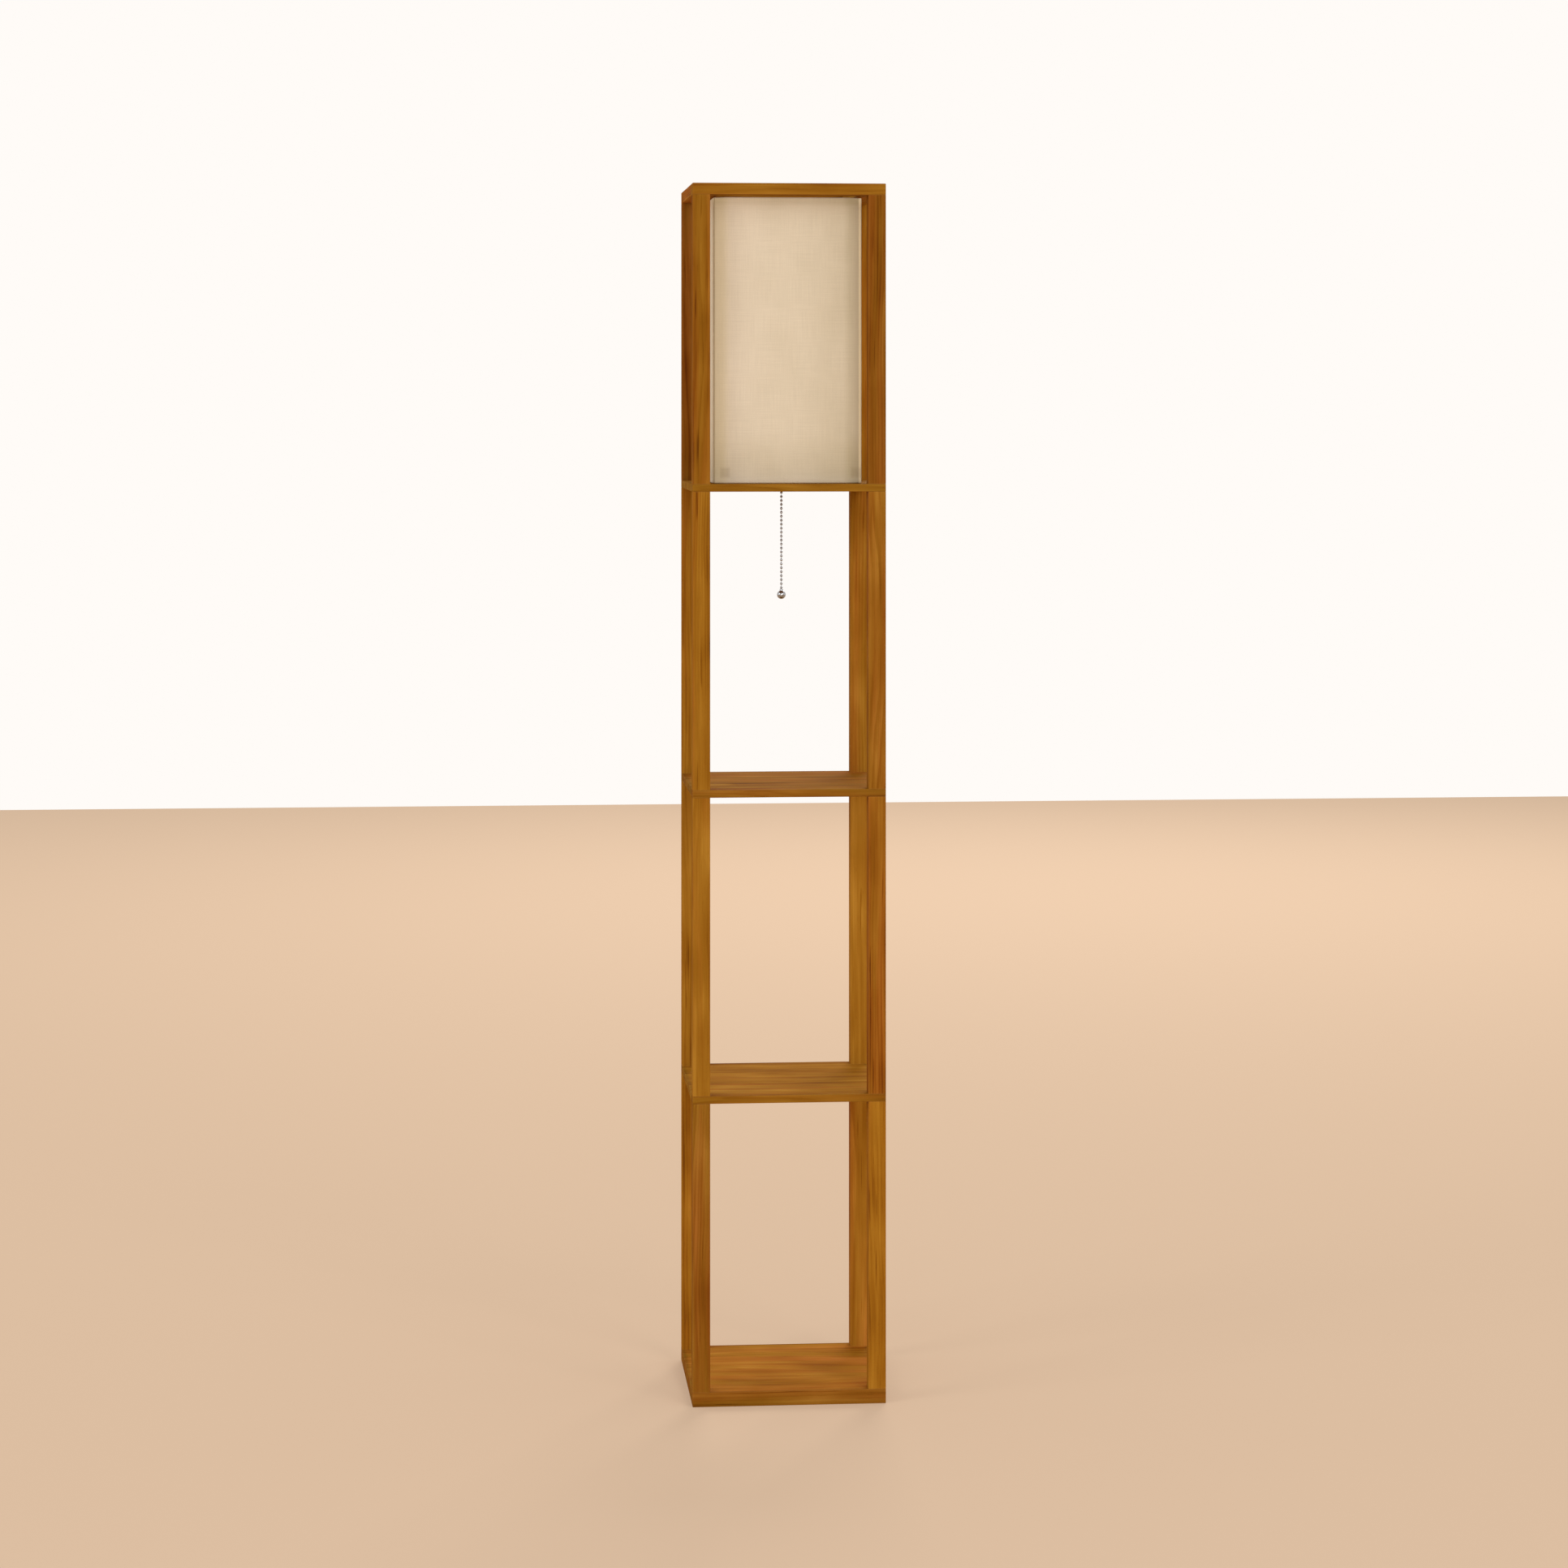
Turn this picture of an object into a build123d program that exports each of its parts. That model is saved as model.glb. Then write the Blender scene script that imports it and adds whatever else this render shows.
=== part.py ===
"""Shelf floor lamp: four open tiers of square posts between square boards, a linen shade in the top tier.

Millimetres, +Z up. The origin is the centre of the base board's underside, and the front faces -Y.
"""
import os
from math import cos, radians

from build123d import *

os.makedirs("parts", exist_ok=True)

STANDING = (Align.CENTER, Align.CENTER, Align.MIN)
HANGING = (Align.CENTER, Align.CENTER, Align.MAX)

# Cabinet: boards and the free height of each tier, from the floor up
side = 254.0
base_thickness = 19.0
shelf_thickness = 10.0
top_thickness = 15.0
lower_tier_height = 377.0
middle_tier_height = 390.0
display_tier_height = 390.0
shade_tier_height = 379.0
post_width = 23.0
top_rail_width = 35.0
edge_round = 0.8

# Cabinet joints: studs through the shelves, screws through the base, dowels in the top frame
bore_clearance = 0.1
bore_end_room = 1.0
stud_diameter = 6.0
stud_reach = 12.0
stud_hole_clearance = 0.25
insert_diameter = 9.0
insert_length = 13.0
base_screw_diameter = 4.5
base_screw_head_diameter = 9.0
base_screw_reach = 30.0
screw_head_recess = 0.5
cross_reach_per_head = 0.55
cross_width_per_head = 0.13
cross_depth_per_head = 0.17
dowel_diameter = 8.0
dowel_length = 22.0
dowel_depth_in_top = 10.0
rail_dowel_spacing = 16.0

# Shade: linen on a stiff backing, over a wire frame
shade_gap = 6.0
shade_top_gap = 2.0
shade_panel_thickness = 1.0
shade_wire_diameter = 3.0
shade_ring_bend = 6.0
shade_ring_inset = 0.6
glue_gap = 0.05
corner_block_width = 12.0
corner_block_height = 14.0
corner_block_gap = 0.25
corner_block_chamfer = 3.5

# Bridge over the chain hole, with its screws, and the threaded tube that carries the lamp holder
bracket_strip_width = 22.0
bracket_strip_thickness = 1.5
bracket_span = 52.0
bracket_height = 48.0
bracket_foot_length = 14.0
bracket_bend = 1.0
bracket_hole_clearance = 0.2
bracket_screw_diameter = 4.0
bracket_screw_head_diameter = 7.5
bracket_screw_head_height = 2.4
bracket_screw_head_round = 1.2
bracket_screw_reach = 8.0
nipple_diameter = 10.0
nipple_bore = 7.0
nipple_reach_in_core = 8.0
nut_width = 14.0
nut_height = 3.0

# Lamp holder for an E26 cap
socket_fit = 0.2
socket_cap_diameter = 36.0
socket_cap_height = 18.0
socket_cap_wall = 0.8
socket_shell_wall = 0.6
socket_shell_height = 42.0
socket_shell_lap = 10.0
socket_liner_wall = 0.8
socket_liner_setback = 1.0
socket_core_height = 20.0
screw_shell_wall = 0.4
screw_shell_height = 26.0
screw_shell_fit = 0.25
contact_strip_width = 6.0
contact_strip_thickness = 0.5
contact_strip_length = 12.0
contact_strip_rise = 3.2
contact_gap = 0.3

# Lamp bulb, A19 outline
bulb_thread_diameter = 26.3
bulb_thread_pitch = 3.63
bulb_thread_depth = 0.7
bulb_cap_turns = 6
bulb_cap_foot_diameter = 11.0
bulb_cap_foot_height = 3.0
bulb_contact_diameter = 9.0
bulb_contact_height = 1.6
bulb_contact_round = 0.8
bulb_neck_diameter = 27.5
bulb_diameter = 60.0
bulb_body_height = 42.0
bulb_body_swell = 2.0
bulb_globe_cylinder = 8.0
bulb_globe_wall = 1.2

# Pull switch under the bridge
case_width = 40.0
case_depth = 21.0
case_height = 25.5
case_wall = 1.5
pull_rod_diameter = 2.5
pull_rod_clearance = 0.1
pull_collar_diameter = 8.0
pull_collar_height = 2.0
pull_collar_rise = 17.0
pull_bell_diameter = 6.0
pull_bell_height = 5.6
pull_bell_gap = 0.6
pull_bell_round = 1.0
cam_diameter = 11.0
cam_notch_diameter = 5.0
cam_thickness = 5.0
cam_lobes = 4
cam_axle_diameter = 2.0
cam_running_gap = 0.5
cam_axle_clearance = 0.08
cam_notch_offset = 0.8
cam_floor_gap = 5.5
spring_diameter = 6.0
spring_wire_diameter = 0.6
spring_turns = 6

# Bead chain and its ball knob
bead_diameter = 3.6
bead_pitch = 5.3
bead_link_diameter = 1.1
bead_play = 0.1
upper_bead_count = 6
lower_bead_count = 24
knob_diameter = 11.6
knob_neck_diameter = 4.6
knob_neck_height = 1.9
knob_neck_round = 0.5
knob_bore_depth = 3.0
knob_bore_clearance = 0.2

# Bushings in the shade shelf
chain_bushing_bore = 5.0
chain_bushing_diameter = 8.0
chain_bushing_flange = 12.0
bushing_flange_thickness = 1.5
bushing_flange_round = 0.7
bushing_fit = 0.1
cord_bushing_bore = 7.4
cord_bushing_diameter = 10.0
cord_bushing_flange = 15.0
cord_bushing_x = -68.0
cord_bushing_y = 78.0

# Levels, worked out from the sizes above
lower_shelf_z = base_thickness + lower_tier_height
lower_shelf_top = lower_shelf_z + shelf_thickness
middle_shelf_z = lower_shelf_top + middle_tier_height
middle_shelf_top = middle_shelf_z + shelf_thickness
upper_shelf_z = middle_shelf_top + display_tier_height
upper_shelf_top = upper_shelf_z + shelf_thickness
top_z = upper_shelf_top + shade_tier_height

post_centre = (side - post_width) / 2
opening_side = side - 2 * top_rail_width
insert_bore = insert_diameter + 2 * bore_clearance
dowel_bore = dowel_diameter + 2 * bore_clearance
dowel_depth_in_post = dowel_length - dowel_depth_in_top

shade_half = side / 2 - post_width - shade_gap
shade_top = top_z - shade_top_gap
shade_inner_half = shade_half - shade_panel_thickness
wire_radius = shade_wire_diameter / 2
ring_half = shade_inner_half - glue_gap - wire_radius
ring_bottom_z = upper_shelf_top + shade_ring_inset + wire_radius
ring_top_z = shade_top - shade_ring_inset - wire_radius

bracket_under_z = upper_shelf_top + bracket_height - bracket_strip_thickness
bracket_top_z = upper_shelf_top + bracket_height
bracket_screw_x = bracket_span / 2 + bracket_foot_length / 2

case_floor_z = bracket_under_z - case_height
collar_z = case_floor_z + case_wall + pull_collar_rise
bell_top_z = case_floor_z - pull_bell_gap
bell_z = bell_top_z - pull_bell_height
first_bead_z = bell_z + pull_bell_height / 2
cam_x = pull_collar_diameter / 2 + cam_running_gap + cam_diameter / 2
cam_z = case_floor_z + case_wall + cam_floor_gap + cam_diameter / 2

core_z = bracket_top_z + socket_cap_wall
core_top_z = core_z + socket_core_height
shell_outer_radius = socket_cap_diameter / 2 - socket_cap_wall - socket_fit
shell_z = bracket_top_z + socket_cap_height - socket_shell_lap
liner_outer_radius = shell_outer_radius - socket_shell_wall - socket_fit
liner_inner_radius = liner_outer_radius - socket_liner_wall
core_radius = liner_inner_radius - socket_fit
screw_shell_inner_radius = bulb_thread_diameter / 2 + screw_shell_fit

bulb_tip_z = core_top_z + contact_strip_rise + contact_gap
bulb_cap_z = bulb_tip_z + bulb_contact_height
bulb_thread_z = bulb_cap_z + bulb_cap_foot_height
bulb_body_z = bulb_thread_z + bulb_cap_turns * bulb_thread_pitch
bulb_globe_z = bulb_body_z + bulb_body_height

swivel_z = first_bead_z - upper_bead_count * bead_pitch
lower_chain_z = swivel_z - bead_pitch
last_bead_z = swivel_z - lower_bead_count * bead_pitch
knob_top_z = last_bead_z - bead_diameter / 2 - bead_play
knob_centre_z = knob_top_z - knob_neck_height - knob_diameter / 2


def save(name, *solids):
    """Write one node, as a single solid or a group of separate solids."""
    shape = solids[0] if len(solids) == 1 else Compound(children=list(solids))
    shape.label = name
    export_step(shape, os.path.join("parts", name + ".step"))


def corners(distance):
    """The four corners of a centred square, with the side names of each."""
    for front, y in (("front", -distance), ("back", distance)):
        for hand, x in (("left", -distance), ("right", distance)):
            yield front + "_" + hand, x, y


def cylinder(diameter, length, x=0.0, y=0.0, z=0.0):
    """An upright cylinder standing on z."""
    return Pos(x, y, z) * Cylinder(diameter / 2, length, align=STANDING)


def tube(outer, inner, length, z):
    """An upright tube on the lamp's axis, given by its two diameters."""
    return cylinder(outer, length, z=z) - cylinder(inner, length, z=z)


def spun(outline):
    """A solid turned about the lamp's axis, from an outline in the XZ plane."""
    return revolve(Plane.XZ * make_face(outline), Axis.Z)


def rounded_board(width, depth, thickness, z):
    """A board standing on z with every edge eased."""
    board = Box(width, depth, thickness, align=STANDING)
    return Pos(0, 0, z) * fillet(board.edges(), edge_round)


def shelf(z):
    """A thin board with a hole over each post for the joining stud."""
    board = rounded_board(side, side, shelf_thickness, z)
    for _, x, y in corners(post_centre):
        board -= cylinder(stud_diameter + 2 * stud_hole_clearance, shelf_thickness, x, y, z)
    return board


def countersink(diameter, shank, x, y, z):
    """A cone that narrows upwards at 45 degrees from a screw head to its shank."""
    rise = (diameter - shank) / 2
    return Pos(x, y, z) * Cone(diameter / 2, shank / 2, rise, align=STANDING)


def base_board():
    """The thick bottom board, drilled and countersunk from below for the post screws."""
    board = rounded_board(side, side, base_thickness, 0)
    head = base_screw_head_diameter + 2 * bore_clearance
    shank = base_screw_diameter + 2 * bore_clearance
    for _, x, y in corners(post_centre):
        board -= cylinder(shank, base_thickness, x, y)
        board -= cylinder(head, screw_head_recess, x, y)
        board -= countersink(head, shank, x, y, screw_head_recess)
    return board


def base_screw(x, y):
    """A countersunk screw, driven up through the base into a post, with a cross recess."""
    length = base_thickness - screw_head_recess + base_screw_reach
    screw = cylinder(base_screw_diameter, length, x, y, screw_head_recess)
    screw += countersink(base_screw_head_diameter, base_screw_diameter, x, y, screw_head_recess)
    return screw - cross_recess(base_screw_head_diameter, x, y, screw_head_recess, STANDING)


def cross_recess(head, x, y, z, align):
    """The cross slot of a screw head of that diameter."""
    reach = head * cross_reach_per_head
    slot = head * cross_width_per_head
    depth = head * cross_depth_per_head
    cross = Box(reach, slot, depth, align=align) + Box(slot, reach, depth, align=align)
    return Pos(x, y, z) * cross


def post(x, y, z, length, lower_bore, upper_bore):
    """A square post on z, with a (diameter, depth) bore in each end."""
    blank = Box(post_width, post_width, length, align=STANDING)
    blank = fillet(blank.edges().filter_by(Axis.Z), edge_round)
    blank -= cylinder(*lower_bore)
    blank -= cylinder(*upper_bore, z=length - upper_bore[1])
    return Pos(x, y, z) * blank


def threaded_insert(x, y, z):
    """A threaded sleeve, flush with the end of a post."""
    sleeve = cylinder(insert_diameter, insert_length, x, y, z)
    return sleeve - cylinder(stud_diameter + 2 * bore_clearance, insert_length, x, y, z)


def save_cabinet():
    """Boards, posts and what joins them."""
    insert_seat = (insert_bore, insert_length + bore_end_room)
    screw_seat = (base_screw_diameter + 2 * bore_clearance, base_screw_reach + bore_end_room)
    dowel_seat = (dowel_bore, dowel_depth_in_post + bore_end_room)
    tiers = (
        ("lower", base_thickness, lower_tier_height, screw_seat, insert_seat),
        ("middle", lower_shelf_top, middle_tier_height, insert_seat, insert_seat),
        ("display", middle_shelf_top, display_tier_height, insert_seat, insert_seat),
        ("shade", upper_shelf_top, shade_tier_height, insert_seat, dowel_seat),
    )
    for tier, z, length, lower_bore, upper_bore in tiers:
        for corner, x, y in corners(post_centre):
            save("post_" + tier + "_" + corner, post(x, y, z, length, lower_bore, upper_bore))

    save("base_board", base_board())
    save("base_screws", *[base_screw(x, y) for _, x, y in corners(post_centre)])
    save("shelf_lower", shelf(lower_shelf_z))
    save("shelf_middle", shelf(middle_shelf_z))
    save("shelf_upper", upper_shelf())

    studs = []
    inserts = []
    for z in (lower_shelf_z, middle_shelf_z, upper_shelf_z):
        for _, x, y in corners(post_centre):
            length = shelf_thickness + 2 * stud_reach
            studs.append(cylinder(stud_diameter, length, x, y, z - stud_reach))
            inserts.append(threaded_insert(x, y, z - insert_length))
            inserts.append(threaded_insert(x, y, z + shelf_thickness))
    save("post_studs", *studs)
    save("post_inserts", *inserts)


def upper_shelf():
    """The shelf under the shade: stud holes, both bushings' holes and the bridge's screw holes."""
    board = shelf(upper_shelf_z)
    board -= cylinder(chain_bushing_diameter + 2 * bushing_fit, shelf_thickness, z=upper_shelf_z)
    hole = cord_bushing_diameter + 2 * bushing_fit
    board -= cylinder(hole, shelf_thickness, cord_bushing_x, cord_bushing_y, upper_shelf_z)
    pilot_depth = min(bracket_screw_reach + bore_end_room, shelf_thickness)
    for x in (-bracket_screw_x, bracket_screw_x):
        pilot = bracket_screw_diameter + 2 * bore_clearance
        board -= cylinder(pilot, pilot_depth, x, 0, upper_shelf_top - pilot_depth)
    return board


def lying_dowel(diameter, length, x, y):
    """A dowel along Y through the top frame's mid height, centred on y."""
    return Pos(x, y, top_z + top_thickness / 2) * Rot(90, 0, 0) * Cylinder(diameter / 2, length)


def top_dowel_places():
    """Where the lying dowels cross the joints between the top frame's rails."""
    for x in (-1, 1):
        for offset in (-rail_dowel_spacing / 2, rail_dowel_spacing / 2):
            for y in (-1, 1):
                yield x * (side - top_rail_width) / 2 + offset, y * opening_side / 2


def save_top_frame():
    """Two long rails over the posts, two short rails between them, and their dowels."""
    seat_length = dowel_length + 2 * bore_end_room
    for name, y in (("front", -1), ("back", 1)):
        rail = rounded_board(side, top_rail_width, top_thickness, top_z)
        rail = Pos(0, y * (side - top_rail_width) / 2, 0) * rail
        for _, x, post_y in corners(post_centre):
            rail -= cylinder(dowel_bore, dowel_depth_in_top + bore_end_room, x, post_y, top_z)
        for x, dowel_y in top_dowel_places():
            rail -= lying_dowel(dowel_bore, seat_length, x, dowel_y)
        save("top_rail_" + name, rail)
    for name, x in (("left", -1), ("right", 1)):
        rail = Box(top_rail_width, opening_side, top_thickness, align=STANDING)
        rail = fillet(rail.edges().filter_by(Axis.Y), edge_round)
        rail = Pos(x * (side - top_rail_width) / 2, 0, top_z) * rail
        for dowel_x, y in top_dowel_places():
            rail -= lying_dowel(dowel_bore, seat_length, dowel_x, y)
        save("top_rail_" + name, rail)
    dowels = [lying_dowel(dowel_diameter, dowel_length, x, y) for x, y in top_dowel_places()]
    for _, x, y in corners(post_centre):
        dowels.append(cylinder(dowel_diameter, dowel_length, x, y, top_z - dowel_depth_in_post))
    save("top_dowels", *dowels)


def shade_panel(x, y, width, depth):
    """One flat upright panel of the shade."""
    panel_height = shade_top - upper_shelf_top
    return Pos(x, y, upper_shelf_top) * Box(width, depth, panel_height, align=STANDING)


def shade_ring(z):
    """A square wire hoop with bent corners, inside the panels."""
    path = RectangleRounded(2 * ring_half, 2 * ring_half, shade_ring_bend).wire()
    path = Pos(0, 0, z) * path
    return sweep(Plane(origin=path @ 0, z_dir=path % 0) * Circle(wire_radius), path=path)


def corner_block(x_sign, y_sign):
    """A small block on the shelf that the shade's corner drops over, chamfered clear of the wire."""
    outer = ring_half - wire_radius - corner_block_gap
    centre = outer - corner_block_width / 2
    block = Box(corner_block_width, corner_block_width, corner_block_height, align=STANDING)
    corner = block.edges().filter_by(Axis.Z).sort_by(lambda edge: edge.center().X + edge.center().Y)[-1]
    block = chamfer(corner, corner_block_chamfer)
    turn = {(1, 1): 0, (-1, 1): 90, (-1, -1): 180, (1, -1): 270}[(x_sign, y_sign)]
    return Pos(x_sign * centre, y_sign * centre, upper_shelf_top) * Rot(0, 0, turn) * block


def save_shade():
    """Panels, hoops and uprights of the shade, and the blocks that locate it."""
    middle = shade_half - shade_panel_thickness / 2
    for name, sign in (("front", -1), ("back", 1)):
        save("shade_panel_" + name, shade_panel(0, sign * middle, 2 * shade_half, shade_panel_thickness))
    for name, sign in (("left", -1), ("right", 1)):
        depth = 2 * shade_inner_half
        save("shade_panel_" + name, shade_panel(sign * middle, 0, shade_panel_thickness, depth))

    save("shade_ring_bottom", shade_ring(ring_bottom_z))
    save("shade_ring_top", shade_ring(ring_top_z))
    weld = ring_half - shade_ring_bend * (1 - cos(radians(45)))
    upright_z = ring_bottom_z + wire_radius + glue_gap
    upright_length = ring_top_z - wire_radius - glue_gap - upright_z
    uprights = [cylinder(shade_wire_diameter, upright_length, x, y, upright_z)
                for _, x, y in corners(weld)]
    save("shade_uprights", *uprights)
    save("shade_corner_blocks", *[corner_block(x, y) for x in (-1, 1) for y in (-1, 1)])


def lamp_bracket():
    """A bridge of bent strip: two feet on the shelf, two legs and a top plate with the nipple hole."""
    half = bracket_span / 2
    sheet = bracket_strip_thickness
    outline = [
        (half + bracket_foot_length, 0),
        (half + bracket_foot_length, sheet),
        (half, sheet),
        (half, bracket_height),
        (-half, bracket_height),
        (-half, sheet),
        (-half - bracket_foot_length, sheet),
        (-half - bracket_foot_length, 0),
        (-half + sheet, 0),
        (-half + sheet, bracket_height - sheet),
        (half - sheet, bracket_height - sheet),
        (half - sheet, 0),
    ]
    section = Plane.XZ * make_face(Polyline(*outline, close=True))
    strip = extrude(section, bracket_strip_width / 2, both=True)
    top_bends = strip.edges().filter_by(Axis.Y).group_by(Axis.Z)[-1]
    strip = fillet(top_bends, bracket_bend)
    hole_length = 2 * sheet
    nipple_hole = nipple_diameter + 2 * bracket_hole_clearance
    strip -= cylinder(nipple_hole, hole_length, z=bracket_height - hole_length)
    for x in (-bracket_screw_x, bracket_screw_x):
        strip -= cylinder(bracket_screw_diameter + 2 * bracket_hole_clearance, sheet, x)
    return Pos(0, 0, upper_shelf_top) * strip


def bracket_screw(x):
    """A pan-head screw through a foot of the bridge."""
    seat = upper_shelf_top + bracket_strip_thickness
    length = bracket_screw_reach + bracket_strip_thickness
    head = cylinder(bracket_screw_head_diameter, bracket_screw_head_height, x, 0, seat)
    head = fillet(head.edges().group_by(Axis.Z)[-1], bracket_screw_head_round)
    head += cylinder(bracket_screw_diameter, length, x, 0, seat - length)
    top = seat + bracket_screw_head_height
    return head - cross_recess(bracket_screw_head_diameter, x, 0, top, HANGING)


def save_bracket():
    """The bridge, its screws, and the nipple with its nut."""
    save("lamp_bracket", lamp_bracket())
    save("bracket_screws", *[bracket_screw(x) for x in (-bracket_screw_x, bracket_screw_x)])
    nut_z = bracket_under_z - nut_height
    nut_radius = nut_width / 2 / cos(radians(30))
    nut = extrude(Pos(0, 0, nut_z) * RegularPolygon(nut_radius, 6), nut_height)
    nut -= cylinder(nipple_diameter + 2 * bore_clearance, nut_height, z=nut_z)
    save("nipple_nut", nut)
    length = core_z + nipple_reach_in_core - nut_z
    save("holder_nipple", tube(nipple_diameter, nipple_bore, length, nut_z))


def centre_contact():
    """A spring strip on the core that rises to meet the bulb's tip."""
    half = contact_strip_length / 2
    sheet = contact_strip_thickness
    slope = contact_strip_length / 4
    outline = [
        (-half, 0),
        (-slope, 0),
        (0, contact_strip_rise - sheet),
        (slope, contact_strip_rise - sheet),
        (slope, contact_strip_rise),
        (-sheet, contact_strip_rise),
        (-slope - sheet, sheet),
        (-half, sheet),
    ]
    section = Plane.XZ * make_face(Polyline(*outline, close=True))
    return Pos(0, 0, core_top_z) * extrude(section, contact_strip_width / 2, both=True)


def save_lamp_holder():
    """Cap, shell, liner, core, screw shell and centre contact of the lamp holder."""
    cap = tube(socket_cap_diameter, nipple_diameter + 2 * socket_fit, socket_cap_height, bracket_top_z)
    cap -= cylinder(socket_cap_diameter - 2 * socket_cap_wall, socket_cap_height, z=core_z)
    save("socket_cap", cap)
    shell_inner = shell_outer_radius - socket_shell_wall
    save("socket_shell", tube(2 * shell_outer_radius, 2 * shell_inner, socket_shell_height, shell_z))
    liner_length = socket_shell_height - socket_liner_setback
    save("socket_liner", tube(2 * liner_outer_radius, 2 * liner_inner_radius, liner_length, shell_z))
    core = cylinder(2 * core_radius, socket_core_height, z=core_z)
    seat_depth = nipple_reach_in_core + bore_clearance
    core -= cylinder(nipple_diameter + 2 * bore_clearance, seat_depth, z=core_z)
    save("socket_core", core)
    screw_shell_outer = screw_shell_inner_radius + screw_shell_wall
    save("screw_shell", tube(2 * screw_shell_outer, 2 * screw_shell_inner_radius,
                             screw_shell_height, core_top_z))
    save("centre_contact", centre_contact())


def bulb_cap():
    """The bulb's screw cap: a foot around the tip, then rounded threads drawn as rings."""
    crest = bulb_thread_diameter / 2
    root = crest - bulb_thread_depth
    lines = [
        Line((0, bulb_cap_z), (bulb_cap_foot_diameter / 2, bulb_cap_z)),
        Line((bulb_cap_foot_diameter / 2, bulb_cap_z), (root, bulb_thread_z)),
    ]
    for turn in range(bulb_cap_turns):
        z = bulb_thread_z + turn * bulb_thread_pitch
        middle = (crest, z + bulb_thread_pitch / 2)
        lines.append(ThreePointArc((root, z), middle, (root, z + bulb_thread_pitch)))
    lines.append(Line((root, bulb_body_z), (0, bulb_body_z)))
    lines.append(Line((0, bulb_body_z), (0, bulb_cap_z)))
    return spun(lines)


def bulb_body():
    """The bulb's housing, which swells in an arc from the neck to the globe's rim."""
    neck = bulb_neck_diameter / 2
    rim = bulb_diameter / 2
    middle = ((neck + rim) / 2 - bulb_body_swell, bulb_body_z + bulb_body_height / 2 + bulb_body_swell)
    return spun([
        Line((0, bulb_body_z), (neck, bulb_body_z)),
        ThreePointArc((neck, bulb_body_z), middle, (rim, bulb_globe_z)),
        Line((rim, bulb_globe_z), (0, bulb_globe_z)),
        Line((0, bulb_globe_z), (0, bulb_body_z)),
    ])


def bulb_globe():
    """The bulb's diffuser: a short cylinder and a dome, hollow and open below."""
    outer = bulb_diameter / 2
    inner = outer - bulb_globe_wall
    shoulder = bulb_globe_z + bulb_globe_cylinder
    lean = cos(radians(45))
    return spun([
        Line((inner, bulb_globe_z), (outer, bulb_globe_z)),
        Line((outer, bulb_globe_z), (outer, shoulder)),
        ThreePointArc((outer, shoulder), (outer * lean, shoulder + outer * lean), (0, shoulder + outer)),
        Line((0, shoulder + outer), (0, shoulder + inner)),
        ThreePointArc((0, shoulder + inner), (inner * lean, shoulder + inner * lean), (inner, shoulder)),
        Line((inner, shoulder), (inner, bulb_globe_z)),
    ])


def save_bulb():
    """Globe, housing, screw cap and tip contact of the bulb."""
    save("bulb_globe", bulb_globe())
    save("bulb_body", bulb_body())
    save("bulb_cap", bulb_cap())
    tip = cylinder(bulb_contact_diameter, bulb_contact_height, z=bulb_tip_z)
    save("bulb_contact", fillet(tip.edges().group_by(Axis.Z)[0], bulb_contact_round))


def switch_case():
    """An open-topped box under the bridge, with the pull rod's hole and a moulded axle for the cam."""
    case = Pos(0, 0, case_floor_z) * Box(case_width, case_depth, case_height, align=STANDING)
    inner = Box(case_width - 2 * case_wall, case_depth - 2 * case_wall, case_height, align=STANDING)
    case -= Pos(0, 0, case_floor_z + case_wall) * inner
    case -= cylinder(pull_rod_diameter + 2 * pull_rod_clearance, case_wall, z=case_floor_z)
    axle_length = case_depth - case_wall
    case += Pos(cam_x, 0, cam_z) * Rot(90, 0, 0) * Cylinder(cam_axle_diameter / 2, axle_length)
    return case


def switch_cam():
    """A lobed wheel that turns on the case's axle, a notch between each two lobes."""
    wheel = Cylinder(cam_diameter / 2, cam_thickness)
    for lobe in range(cam_lobes):
        notch = Cylinder(cam_notch_diameter / 2, cam_thickness)
        notch = Pos(cam_diameter / 2 + cam_notch_offset, 0, 0) * notch
        wheel -= Rot(0, 0, 360 / cam_lobes * (lobe + 0.5)) * notch
    wheel -= Cylinder(cam_axle_diameter / 2 + cam_axle_clearance, cam_thickness)
    return Pos(cam_x, 0, cam_z) * Rot(90, 0, 0) * wheel


def pull_link():
    """The rod that works the switch: a collar at the top, a crimped bell for the chain below."""
    link = cylinder(pull_collar_diameter, pull_collar_height, z=collar_z)
    link += cylinder(pull_rod_diameter, collar_z - bell_top_z, z=bell_top_z)
    bell = cylinder(pull_bell_diameter, pull_bell_height, z=bell_z)
    bell = fillet(bell.edges().group_by(Axis.Z)[-1], pull_bell_round)
    bell -= Pos(0, 0, first_bead_z) * Sphere(bead_diameter / 2 + bead_play)
    mouth = bead_link_diameter + 2 * bead_play
    bell -= cylinder(mouth, first_bead_z - bell_z, z=bell_z)
    return link + bell


def return_spring():
    """The coil spring between the case's floor and the collar."""
    clear = spring_wire_diameter / 2 + bore_clearance
    floor = case_floor_z + case_wall + clear
    rise = collar_z - clear - floor
    coil = Helix(rise / spring_turns, rise, spring_diameter / 2, center=(0, 0, floor))
    section = Plane(origin=coil @ 0, z_dir=coil % 0) * Circle(spring_wire_diameter / 2)
    return sweep(section, path=coil, is_frenet=True)


def save_switch():
    """The pull switch."""
    save("switch_case", switch_case())
    save("switch_cam", switch_cam())
    save("pull_link", pull_link())
    save("return_spring", return_spring())


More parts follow.
